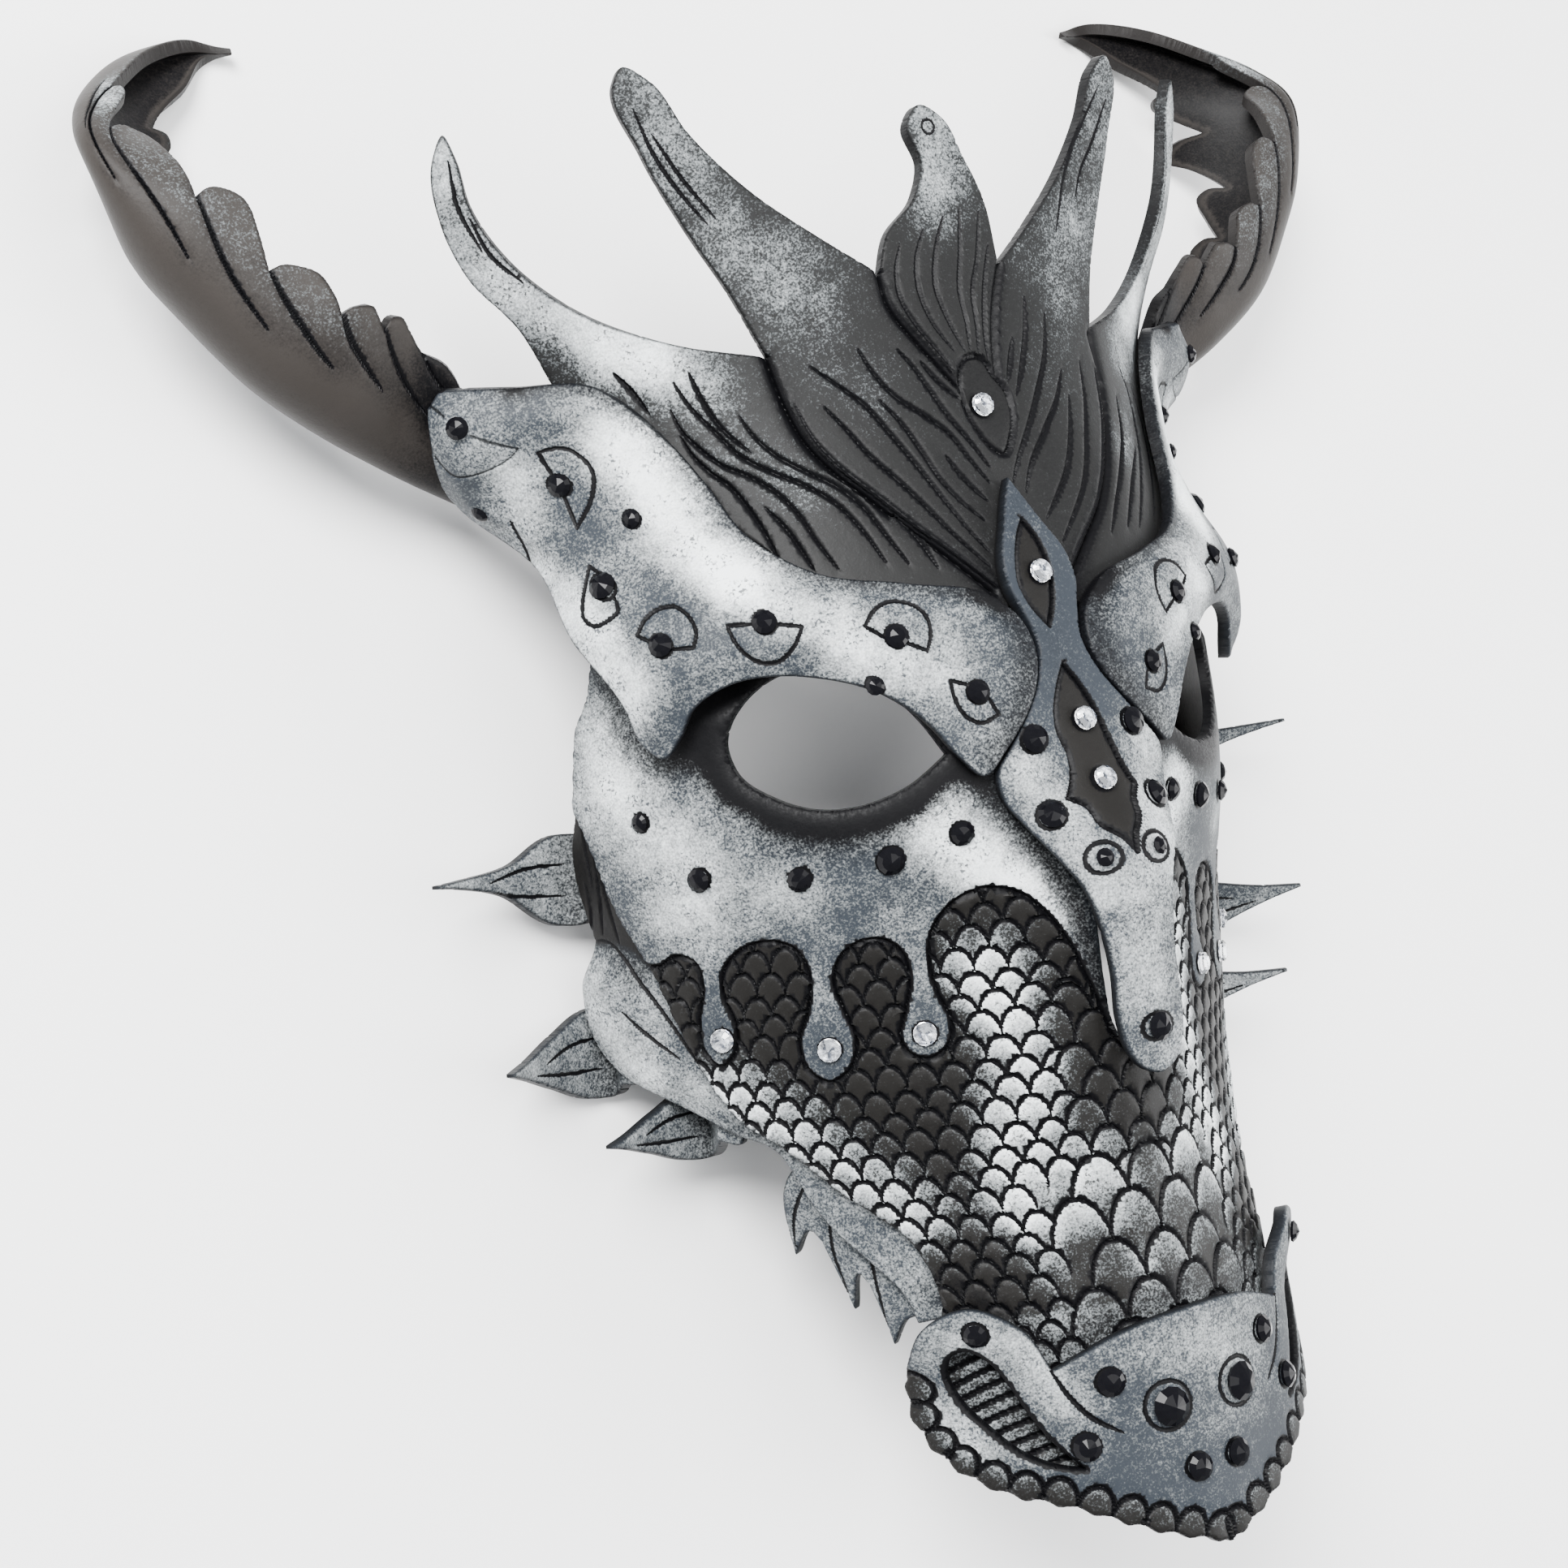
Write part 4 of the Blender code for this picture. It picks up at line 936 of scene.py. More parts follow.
def leather(name, loops, form, carving, paint, cell=None, fine_rim=True):
    """Cut a piece from the flat on a fine grid, carve it, and wrap it over its form."""
    cell = cell or (mm(settings().grid),) * 2
    step = mm(settings().grid)
    fine = [smooth_loop(loop, step) for loop in loops]
    low = [min(p[k] for p in fine[0]) for k in (0, 1)]
    high = [max(p[k] for p in fine[0]) for k in (0, 1)]
    obj = flat_slab(name, low, high, cell)
    cutter = flat_curve(name + "_pattern", fine, 2 * SLAB)
    cut = obj.modifiers.new("cut", "BOOLEAN")
    cut.operation = "INTERSECT"
    cut.solver = "EXACT"
    cut.object = cutter
    bpy.context.view_layer.update()
    graph = bpy.context.evaluated_depsgraph_get()
    mesh = bpy.data.meshes.new_from_object(obj.evaluated_get(graph))
    bpy.data.objects.remove(cutter)
    bpy.data.objects.remove(obj)
    bm = bmesh.new()
    bm.from_mesh(mesh)
    bmesh.ops.remove_doubles(bm, verts=bm.verts[:], dist=MERGE_SHARE * min(cell))
    rim_tree = search_tree(rim_samples(fine) * carving.stretch) if fine_rim else None
    for reach, cuts in REFINE:
        add_detail(bm, carving, rim_tree, reach, cuts)
    bmesh.ops.triangulate(bm, faces=bm.faces[:])
    bm.to_mesh(mesh)
    bm.free()
    mesh.name = name
    dress_flat(mesh, fine, form, carving, paint)
    return add_object(name, mesh)


def add_detail(bm, carving, rim_tree, reach, cuts):
    """Divide the edges of the top face that lie near a carved line or near the rim."""
    top = [v for v in bm.verts if v.co.z > 0.5 * SLAB]
    flat = np.array([v.co[:2] for v in top])
    distance = carving.near(flat[:, 0], flat[:, 1])[1]
    if rim_tree:
        distance = np.minimum(distance, nearest(rim_tree, flat * carving.stretch)[1])
    close = {v for v, d in zip(top, distance) if d < reach}
    edges = [e for e in bm.edges if e.verts[0] in close and e.verts[1] in close]
    bmesh.ops.subdivide_edges(bm, edges=edges, cuts=cuts, use_grid_fill=True)


def rim_samples(loops):
    """Closely spaced points along closed outlines."""
    rows = []
    for loop in loops:
        a = np.array(loop)
        b = np.roll(a, -1, axis=0)
        for share in np.arange(0, 1, 0.125):
            rows.append(a + (b - a) * share)
    return np.vstack(rows)


def dress_flat(mesh, fine, form, carving, paint):
    """Press the carving into a cut pattern, paint it and wrap it over its form."""
    count = len(mesh.vertices)
    flat = np.empty(count * 3)
    mesh.vertices.foreach_get("co", flat)
    flat = flat.reshape(-1, 3)
    u = flat[:, 0]
    v = flat[:, 1]
    top = flat[:, 2] > 0.5 * SLAB
    rim_tree = search_tree(rim_samples(fine) * carving.stretch)
    rim = nearest(rim_tree, np.stack([u, v], -1) * carving.stretch)[1]
    height, ink = carving.press(u, v)
    field, height, ink, silver, shade = paint(u, v, height, ink)
    radius = mm(settings().rim_round)
    inward = np.clip(radius - rim, 0, radius)
    height = height - (radius - np.sqrt(np.maximum(radius ** 2 - inward ** 2, 0)))
    edge = 1 - ease(rim / 1.1)
    upper = form(u, v, np.ones(count))
    lower = form(u, v, np.zeros(count))
    normal = upper - lower
    normal = normal / np.maximum(np.linalg.norm(normal, axis=1, keepdims=True), 1e-9)
    place = np.where(top[:, None], upper + normal * height[:, None], lower)
    mesh.vertices.foreach_set("co", (place * MM).ravel())
    wall = 1 - ease((rim - 0.6) / 1.4)
    worn = silver * (1 - 0.5 * (1 - ease(rim / 0.5)))
    under = np.where(field > 1.5, 0.95, 0.35)
    # The silver cover also carries the painted highlights; the shade carries airbrushed black,
    # painted shade and the dark back of the leather
    set_values(mesh, "ink", np.where(top, np.maximum(ink, RIM_INK * edge), RIM_INK * wall))
    set_values(mesh, "silver", np.where(top, worn, 0.5 * wall * silver))
    set_values(mesh, "shade", np.where(top, shade, np.maximum(under * (1 - wall), shade * wall)))
    set_values(mesh, "field", np.where(top, field, 1.0))
    mesh.update()
    mesh.shade_smooth()
    mesh.set_sharp_from_angle(angle=radians(SHARP_ANGLE))


def new_mesh(name, bm):
    """Mesh with the content of a bmesh, which is freed."""
    mesh = bpy.data.meshes.new(name)
    bm.to_mesh(mesh)
    bm.free()
    return mesh


def add_object(name, data):
    """New object for a mesh, a curve, a light or a camera, linked to the scene."""
    obj = bpy.data.objects.new(name, data)
    bpy.context.scene.collection.objects.link(obj)
    return obj


def rest_matrix():
    """From the mask frame to the mask as it lies."""
    tilt = Matrix.Rotation(radians(REST_TILT), 4, "X")
    return Matrix.Translation((0, REST_BACK, REST_LIFT)) @ tilt


def settle(obj):
    """Tilt a piece as the mask lies; what would press into the table is flat on it."""
    obj.data.transform(rest_matrix())
    place = np.empty(len(obj.data.vertices) * 3)
    obj.data.vertices.foreach_get("co", place)
    place[2::3] = np.maximum(place[2::3], 0)
    obj.data.vertices.foreach_set("co", place)


def hand_over(obj, node, material):
    """Settle a piece, give it its material, and let it stand for its node."""
    settle(obj)
    obj.data.materials.clear()
    obj.data.materials.append(material)
    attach(obj, "root")
    if node:
        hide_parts(node)


def mirror_copy(obj, name):
    """Right-hand copy of a left-hand piece."""
    mesh = obj.data.copy()
    mesh.transform(Matrix.Diagonal((-1, 1, 1, 1)))
    mesh.flip_normals()
    return add_object(name, mesh)


def flat_slab(name, low, high, cell):
    """Flat slab with a grid on both faces."""
    count = [ceil((high[k] - low[k]) / cell[k]) + 2 for k in (0, 1)]
    middle = [(low[k] + high[k]) / 2 for k in (0, 1)]
    bm = bmesh.new()
    place = Matrix.Translation((middle[0], middle[1], 0))
    place = place @ Matrix.Diagonal((count[0] * cell[0], count[1] * cell[1], 1, 1))
    bmesh.ops.create_grid(bm, x_segments=count[0], y_segments=count[1], size=0.5, matrix=place)
    result = bmesh.ops.extrude_face_region(bm, geom=bm.faces[:], use_keep_orig=True)
    top = [g for g in result["geom"] if isinstance(g, bmesh.types.BMVert)]
    bmesh.ops.translate(bm, verts=top, vec=(0, 0, SLAB))
    bmesh.ops.recalc_face_normals(bm, faces=bm.faces[:])
    return add_object(name + "_slab", new_mesh(name + "_slab", bm))


def flat_curve(name, loops, depth):
    """Closed 2D curve through the loops, filled and extruded, as a mesh object."""
    data = bpy.data.curves.new(name, "CURVE")
    data.dimensions = "2D"
    data.fill_mode = "BOTH"
    data.extrude = depth
    for loop in loops:
        spline = data.splines.new("POLY")
        spline.points.add(len(loop) - 1)
        for point, place in zip(spline.points, loop):
            point.co = (place[0], place[1], 0, 1)
        spline.use_cyclic_u = True
    obj = add_object(name, data)
    bpy.context.view_layer.update()
    graph = bpy.context.evaluated_depsgraph_get()
    mesh = bpy.data.meshes.new_from_object(obj.evaluated_get(graph))
    bm = bmesh.new()
    bm.from_mesh(mesh)
    bmesh.ops.remove_doubles(bm, verts=bm.verts[:], dist=0.0001)
    bmesh.ops.recalc_face_normals(bm, faces=bm.faces[:])
    bm.to_mesh(mesh)
    bm.free()
    bpy.data.objects.remove(obj)
    return add_object(name, mesh)


def plain_paint(base, lights=(), shades=()):
    """Paint for a silver piece: even cover, with lighter strokes of painted highlight and darker
    strokes of airbrushed black and painted shade.
    """
    def paint(u, v, height, ink):
        silver = base + stroke(u, v, lights)
        shade = stroke(u, v, shades)
        return np.zeros(len(u)), height, ink, silver, shade
    return paint


def field_outline():
    """Outline of the scale field, which runs past the face's lower edge."""
    path = [tuple(p) for p in open_path(FIELD_BORDER, 0.8)]
    right = [(-p[0], p[1]) for p in path[-2::-1]]
    return path + right + [(130, -40), (130, -200), (-130, -200), (-130, -40)]


def scale_size(u, v):
    """Size of a scale at a place, as a share of a small one."""
    small, middle, large = SCALE_SIZES
    if v < -96 and abs(u) < 24:
        return large
    if v < -58 and abs(u) < 15:
        return middle
    return small


def scale_centres():
    """Centre, half width and rise of every scale, from the uppermost row down."""
    found = []
    for size in SCALE_SIZES:
        width = SCALE_WIDTH * size
        pitch = SCALE_PITCH * size
        rows = ceil(150 / pitch)
        for k in range(rows):
            v = -29 - pitch * k
            for i in range(-ceil(110 / width), ceil(110 / width) + 1):
                u = width * (i + 0.5 * (k % 2))
                sway = 0.6 * sin(0.9 * i + 1.7 * k)
                if scale_size(u, v) == size:
                    found.append((u + 0.4 * sway, v + sway, 0.5 * width, SCALE_RISE * size))
    return sorted(found, key=lambda s: -s[1])


def uncovered(track):
    """Whether each point of the face shows above the snout plate."""
    left = np.array(open_path([p[:2] for p in PLATE_TOP], 1.0))
    top = np.interp(-np.abs(track[:, 0]), left[::-1, 0], left[::-1, 1])
    return track[:, 1] > top - 2


def carve_ribs(carving):
    """Slanting ribs on the face behind each nostril."""
    hole = smooth_loop(NOSTRIL, 1.0)
    centre = np.mean(hole, axis=0)
    wide = [tuple(centre + (np.array(p) - centre) * 1.25) for p in hole]
    for k in range(NOSTRIL_RIBS):
        v = RIB_TOP - RIB_PITCH * k
        u = np.arange(-56, -22, 0.4)
        track = np.stack([u, v + RIB_SLOPE * (u + 40) - 0.008 * (u + 40) ** 2], -1)
        keep = inside(track[:, 0], track[:, 1], wide)
        ones = np.ones(keep.sum())
        for side in (1, -1):
            carving.add(track[keep] * (side, 1), np.outer(ones, (0, 0.45)), 0.4 * ones, 0.7 * ones,
                        ones)


def carve_scales(carving, scales, border):
    """Arches of the scales, where no lower scale covers them."""
    table = np.array(scales)
    for n, (u, v, half, rise) in enumerate(scales):
        angle = np.linspace(0, pi, ceil(pi * half / 0.35))
        track = np.stack([u - half * np.cos(angle), v + rise * np.sin(angle)], -1)
        out = np.stack([-np.cos(angle) * rise, np.sin(angle) * half], -1)
        out = out / np.linalg.norm(out, axis=1, keepdims=True)
        later = table[n + 1:]
        across = (track[:, None, 0] - later[None, :, 0]) / later[None, :, 2]
        up = (track[:, None, 1] - later[None, :, 1]) / later[None, :, 3]
        hidden = ((across ** 2 + up ** 2 < 0.97) & (up > 0)) | ((np.abs(across) < 0.9) & (up <= 0)
                                                               & (up > -0.9))
        keep = ~hidden.any(axis=1) & inside(track[:, 0], track[:, 1], border) & uncovered(track)
        if keep.sum() < 4:
            continue
        crown = 0.45 + 0.55 * np.sin(angle)
        carving.add(track[keep], out[keep] * 0.55, (0.36 * crown)[keep] * (half / 3.2) ** 0.4,
                    (0.45 * crown)[keep], np.ones(keep.sum()))


def ring_stones(carving, table, both=True):
    """Shallow inked ring round each stone, mostly under its edge: the black of its setting and a
    thin painted contact shadow at its foot.
    """
    for u, v, radius, *_ in table:
        for side in (1, -1) if both and u else (1,):
            carving.line(ring_points(side * u, v, mm(radius) * 0.92, 10),
                         half=0.4, depth=0.12, closed=True)


def face_carving(scales, border):
    carving = Carving()
    track = np.array(open_path(FIELD_BORDER, 0.35))
    along = np.gradient(track, axis=0)
    along = along / np.linalg.norm(along, axis=1, keepdims=True)
    right = np.stack([along[:, 1], -along[:, 0]], -1)
    ones = np.ones(len(track))
    for side in (1, -1):
        carving.add(track * (side, 1), right * (side, 1) * 0.55, 0.45 * ones, 0.7 * ones, ones)
    carve_scales(carving, scales, border)
    carve_ribs(carving)
    ring_stones(carving, CHEEK_STONES)
    for hole in (EYE_HOLE, mirrored(EYE_HOLE)):
        carving.line(hole, half=1.6, depth=0.5, closed=True)
    carving.close()
    return carving


def face_paint(scales, border):
    """Silver face with a dark field of scales whose crowns are brushed silver, with painted
    highlights and painted shade from its strokes.
    """
    def paint(u, v, height, ink):
        field = inside(u, v, border).astype(float)
        crown = np.zeros(len(u))
        lift = np.zeros(len(u))
        for su, sv, half, rise in scales:
            across = (u - su) / half
            hit = (np.abs(across) < 1) & (v < sv + rise) & (v > sv - 2.4 * rise)
            top = sv + rise * np.sqrt(np.maximum(1 - across ** 2, 0))
            hit = hit & (v < top)
            below = (top - v)[hit]
            crown[hit] = np.exp(-below / (0.5 * rise))
            lift[hit] = SCALE_LIFT * (1 - across[hit] ** 2) * np.exp(-below / rise)
        silver = FACE_SILVER + stroke(u, v, both_sides(FACE_LIGHT))
        shade = stroke(u, v, both_sides(FACE_SHADE))
        bright = stroke(u, v, both_sides(FIELD_LIGHT))
        dim = stroke(u, v, both_sides(FIELD_SHADE))
        scaly = (0.18 + bright) * (0.5 + 0.75 * crown)
        scaly = np.where(v < -118, RIB_SILVER, scaly)
        silver = np.where(field > 0, scaly, silver)
        shade = np.where(field > 0, dim * (1 - 0.5 * crown), shade)
        height = height + np.where(field > 0, lift - FIELD_SINK, 0)
        return field, height, ink, silver, shade
    return paint


def build_face():
    border = field_outline()
    scales = scale_centres()
    holes = [EYE_HOLE, mirrored(EYE_HOLE), slot_outline()]
    face = leather("face", [both_halves(FACE_EDGE)] + holes, face_form,
                   face_carving(scales, border), face_paint(scales, border),
                   cell=(mm(settings().face_grid),) * 2, fine_rim=False)
    hand_over(face, "face_shell", leather_material("silver"))


def crest_carving():
    carving = Carving()
    for line in OUTER_WING + INNER_WING:
        carving.line(line, half=0.5, depth=0.7, bevel=-0.25)
    for line in RIGHT_WING:
        carving.line(line, half=0.5, depth=0.7, bevel=0.25)
    for line in BULB:
        carving.line(line, half=0.55, depth=0.8)
    for groove, bevel in ((GROOVE_LEFT, -1.0), (GROOVE_RIGHT, 1.0), (GROOVE_MIDDLE, -0.9),
                          (GROOVE_BULB, 0.9)):
        carving.line(groove, half=0.85, depth=1.1, bevel=bevel, taper=0.9)
    for groove, shift in ((GROOVE_LEFT, 1.9), (GROOVE_RIGHT, -1.9)):
        carving.line([(u + shift, v) for u, v in groove[1:]], half=0.5, depth=0.6)
    ring_stones(carving, (CREST_STONE,))
    carving.line(PATCH, half=0.55, depth=0.8, closed=True, bevel=0.4)
    for line in SPIKE_LINES + RIGHT_SPIKE_LINES + tuple(mirrored(p) for p in SPIKE_LINES[2:]):
        carving.line(line, half=0.45, depth=0.6)
    carving.line(ring_points(3.4, 131.6, 1.6), half=0.3, depth=0.35, closed=True)
    carving.close()
    return carving


def crest_paint(u, v, height, ink):
    """Dark crest with silver spikes, a dark patch round its stone, and painted shade along the
    brows' rim, in the grooves and beside the strap.
    """
    silver = CREST_SILVER + stroke(u, v, both_sides(CREST_LIGHT)) + stroke(u, v, MIDDLE_LIGHT)
    shade = stroke(u, v, both_sides(CREST_SHADE)) + stroke(u, v, MIDDLE_SHADE)
    patch = inside(u, v, smooth_loop(PATCH, 1.0))
    silver = np.where(patch, 0.02, silver)
    shade = np.where(patch, 0.5, shade)
    return np.ones(len(u)), height - 0.4 * patch, ink, silver, shade


def build_crest():
    crest = leather("crest_carved", [crest_outline()], crest_form, crest_carving(), crest_paint)
    hand_over(crest, "crest", leather_material("dark"))


def strap_paint(u, v, height, ink):
    """Silver strap with two sunk dark patches."""
    patch = inside(u, v, smooth_loop(DIAMOND, 0.8)) | inside(u, v, smooth_loop(KITE, 0.8))
    silver = STRAP_SILVER + TONGUE_SILVER * ease((8 - v) / 16) + stroke(u, v, STRAP_LIGHT)
    shade = stroke(u, v, STRAP_SHADE)
    silver = np.where(patch, 0.1, silver)
    return patch.astype(float), height - 0.45 * patch, ink, silver, shade


def build_strap():
    carving = Carving()
    for loop in (DIAMOND, KITE):
        carving.line(loop, half=0.45, depth=0.6, closed=True, bevel=0.3)
    ring_stones(carving, STRAP_STONES[:-1] + STRAP_MIDDLE_STONES)
    u, v, radius, clear = STRAP_STONES[-1]
    for side in (-1, 1):
        carving.line(ring_points(side * u, v, mm(radius) + 1.0), half=0.42, depth=0.4,
                     closed=True)
    carving.close()
    strap = leather("nose_strap_carved", [strap_outline()], strap_form, carving, strap_paint)
    hand_over(strap, "nose_strap", leather_material("silver"))


def ring_points(u, v, radius, count=8):
    return [(u + radius * cos(2 * pi * k / count), v + radius * sin(2 * pi * k / count))
            for k in range(count)]


def rim_scales():
    """Half-round scales along the snout plate's rim: centre, inward direction and half width."""
    path = open_path(PLATE_RIM, 0.5)
    marks = []
    for k in range(SCALLOPS):
        i = 1 + int((len(path) - 2) * (k + 0.5) / SCALLOPS)
        step = path[i] - path[i - 1]
        step = step / np.linalg.norm(step)
        inward = np.array((-step[1], step[0]))
        marks.append((path[i], inward, 0.5 * 0.5 * len(path) / SCALLOPS))
    return marks


def plate_carving():
    carving = Carving()
    for centre, inward, half in rim_scales():
        along = np.array((inward[1], -inward[0]))
        angle = np.linspace(0, pi, 22)
        track = centre + np.outer(np.cos(angle) * half, along)
        track = track + np.outer(np.sin(angle) * RIM_SCALE_REACH, inward)
        out = np.outer(np.cos(angle), along) + np.outer(np.sin(angle), inward)
        ones = np.ones(len(angle))
        for side in (1, -1):
            flip = np.array((side, 1))
            carving.add(track * flip, out * flip * 0.6, 0.42 * ones, 0.6 * ones, ones)
    for line, hole in ((SNOUT_LINE, NOSTRIL), (mirrored(SNOUT_LINE), mirrored(NOSTRIL))):
        carving.line(line, half=0.55, depth=0.7)
        carving.line(hole, half=0.9, depth=0.4, closed=True)
    ring_stones(carving, PLATE_STONES[1:])
    for side in (1, -1):
        carving.line(ring_points(9 * side, -141, mm(STONE_NOSE) + 0.9, 12), half=0.45, depth=0.4,
                     closed=True)
    carving.close()
    return carving


def plate_paint(u, v, height, ink):
    """Silver plate with a rim of dark half-round scales."""
    silver = PLATE_SILVER + stroke(u, v, PLATE_LIGHT)
    dark = np.zeros(len(u))
    for centre, inward, half in rim_scales():
        along = np.array((inward[1], -inward[0]))
        for side in (1, -1):
            p = np.stack([u * side, v], -1) - centre
            x = p @ along / half
            y = p @ inward / RIM_SCALE_REACH
            hit = (x ** 2 + y ** 2 < 1) | ((np.abs(x) < 1) & (y < 0) & (y > -0.6))
            dark[hit] = 1
            silver[hit] = 0.14 + 0.32 * np.clip(y[hit], 0, 1)
    return dark, height, ink, silver, 0.2 * dark


def build_plate():
    plate = leather("snout_plate_carved", [plate_outline(), NOSTRIL, mirrored(NOSTRIL)],
                    plate_form, plate_carving(), plate_paint)
    hand_over(plate, "snout_plate", leather_material("silver"))


def build_brows():
    carving = Carving()
    for k, line in enumerate(BROW_CARVING):
        if k < 3:
            carving.line(line, half=0.34, depth=0.4, taper=0.8, ink=0.5)
        else:
            carving.line(line, half=0.45, depth=0.55, taper=0.8)
    ring_stones(carving, BROW_STONES[:8], both=False)
    carving.line(EAR_LINE, half=0.4, depth=0.5)
    carving.close()
    paint = plain_paint(BROW_SILVER, BROW_LIGHT, BROW_SHADE)
    left = leather("brow_carved_left", [brow_outline()], brow_form, carving, paint)
    pair(left, "brow_carved_right", "brow_left", "brow_right")


def pair(left, right_name, left_node, right_node, kind="silver"):
    """Mirror a left-hand piece and hand both over."""
    right = mirror_copy(left, right_name)
    hand_over(left, left_node, leather_material(kind))
    hand_over(right, right_node, leather_material(kind))


def jaw_paint(u, v, height, ink):
    """Jaw strip: a dark lined band at the top, then a silver leaf and lip."""
    band = ease((v + 36) / 3) + ease((-0.72 * u - v - 113.5) / -3) * ease((v + 62) / 8)
    band = np.clip(band, 0, 1)
    silver = JAW_SILVER - 0.38 * band + stroke(u, v, JAW_LIGHT)
    shade = stroke(u, v, JAW_SHADE)
    return band, height, ink, silver, shade


def build_jaws():
    carving = Carving()
    for line in JAW_CARVING:
        carving.line(line, half=0.42, depth=0.55)
    carving.close()
    left = leather("jaw_strip_carved_left", [JAW_OUTLINE], jaw_form, carving, jaw_paint)
    pair(left, "jaw_strip_carved_right", "jaw_strip_left", "jaw_strip_right")


def build_frills():
    carving = Carving()
    for line in FRILL_CARVING:
        carving.line(line, half=0.4, depth=0.4)
    carving.close()
    paint = plain_paint(FRILL_SILVER, (), FRILL_SHADE)
    left = leather("jaw_frill_carved_left", [FRILL_OUTLINE], frill_form, carving, paint)
    pair(left, "jaw_frill_carved_right", "jaw_frill_left", "jaw_frill_right")


def horn_lines():
    """Slanting cuts that run from the horn's notches, near edge and far edge by turns."""
    lines = []
    for k, notch in enumerate(HORN_NOTCHES):
        reach = 0.75 + 0.09 * k
        for start, way in ((0.0, 1), (mm(HORN_WIDTH), -1)):
            lines.append([(notch, start), (notch - 3 * reach, start + 2.6 * way * reach),
                          (notch - 7.5 * reach, start + 5.6 * way * reach),
                          (notch - 13 * reach, start + 8.6 * way * reach)])
    return lines


def horn_carving():
    carving = Carving(stretch=(HORN_STRETCH, 1.0))
    for k, line in enumerate(horn_lines()):
        carving.line(line, half=0.42, depth=0.7, taper=0.5, bevel=0.35 * (-1) ** k)
    carving.line([(71, 3.4), (64, 5.4), (58, 9)], half=0.5, depth=0.5)
    carving.close()
    return carving


def horn_paint(u, v, height, ink):
    """Warm dark horn with paler lobes, a whitish rim at its curl, and painted shade at its root and
    beside its cuts.
    """
    lobe = np.abs(v - mm(HORN_WIDTH) / 2) / (mm(HORN_WIDTH) / 2)
    silver = 0.08 + 0.24 * ease((lobe - 0.4) / 0.6) * ease((u - 8) / 20)
    curl = ease((u - 58) / 6) * ease((74 - u) / 6)
    silver = silver + 0.3 * ease((lobe - 0.7) / 0.2) * curl
    # Painted shade at the root next to the brow and beside each cut; the strip is also darker
    # toward its middle
    dusk = 0.6 * ease((16 - u) / 12) + 0.22 * ease((0.5 - lobe) / 0.5)
    for line in horn_lines():
        dusk = dusk + 0.5 * bell(line_distance(u, v, line) / 3.0)
    return np.full(len(u), 2.0), height, ink, silver, dusk


def horn_outside(s, w, t):
    """The horn's form with its carved face turned to the outside."""
    return horn_form(s, w, 1 - t)


def build_horns():
    cell = (mm(settings().grid) / HORN_STRETCH, mm(settings().grid))
    left = leather("horn_leaf_left", [horn_outline()], horn_outside, horn_carving(), horn_paint,
                   cell=cell)
    face_outwards(left.data)
    pair(left, "horn_leaf_right", "horn_left", "horn_right", "horn")


def spike(name, root, tip, half, fullness, bend, seat):
    """Pointed jaw leaf with a cupped middle, two carved veins and a tab under the jaw strip."""
    root = np.array(root, float)
    reach = np.array(tip, float) - root
    length = np.linalg.norm(reach)
    along = reach / length
    across = np.array((0, 1, 0)) - along * along[1]
    across = across / np.linalg.norm(across)
    low, high = jaw_form(*np.array(seat, float).T, np.full(2, -0.04))
    fold = np.linalg.norm(low - root)
    back = fold + np.linalg.norm(high - low)
    wide = fullness * half
    outline = [(-back, -0.6 * half), (-fold, -0.75 * half), (0, -half), (0.12 * length, -half),
               (0.5 * length, -wide + bend), (0.8 * length, -0.42 * wide + 0.8 * bend),
               (length, -0.35, 1), (length, 0.35, 1), (0.78 * length, 0.22 * wide + 0.8 * bend),
               (0.45 * length, 0.85 * wide + bend), (0.12 * length, half), (0, half),
               (-fold, 0.75 * half), (-back, 0.6 * half)]

    def spine(u):
        """The leaf's middle line: up the strip's inner face, round the fold and out."""
        turn = np.clip((SPIKE_FOLD - u) / (SPIKE_FOLD + fold), 0, 1)[:, None]
        bow = (root + SPIKE_FOLD * along) * (1 - turn) ** 2 + 2 * root * turn * (1 - turn)
        rise = np.maximum(-u - fold, 0)[:, None] * (high - low) / (back - fold)
        return bow + low * turn ** 2 + rise + np.maximum(u - SPIKE_FOLD, 0)[:, None] * along

    def form(u, v, t):
        cup = 1.2 * (1 - np.clip(np.abs(v) / half, 0, 1) ** 2) * ease(u / (0.5 * length))
        sag = mm(SPIKE_SAG) * np.sin(pi * np.clip(u / length, 0, 1))
        height = cup - sag + mm(SPIKE_LEATHER) * (t - 1)
        normal = np.cross(across, spine(u + 0.3) - spine(u - 0.3))
        normal = normal / np.linalg.norm(normal, axis=1, keepdims=True)
        return spine(u) + v[:, None] * across + height[:, None] * normal

    carving = Carving()
    carving.line(((0.1 * length, 0.35 * half), (0.35 * length, 0.28 * half),
                  (0.6 * length, 0.02 * half)), half=0.4, depth=0.45)
    carving.line(((0.1 * length, -0.35 * half), (0.4 * length, -0.3 * half),
                  (0.72 * length, -0.16 * half)), half=0.4, depth=0.45)
    carving.close()
    # Painted shade at the leaf's root, where it goes under the jaw strip
    paint = plain_paint(LEAF_SILVER, (), ((((0, -half), (0, half)), 0.22 * length, 0.8),))
    return leather(name, [outline], form, carving, paint)


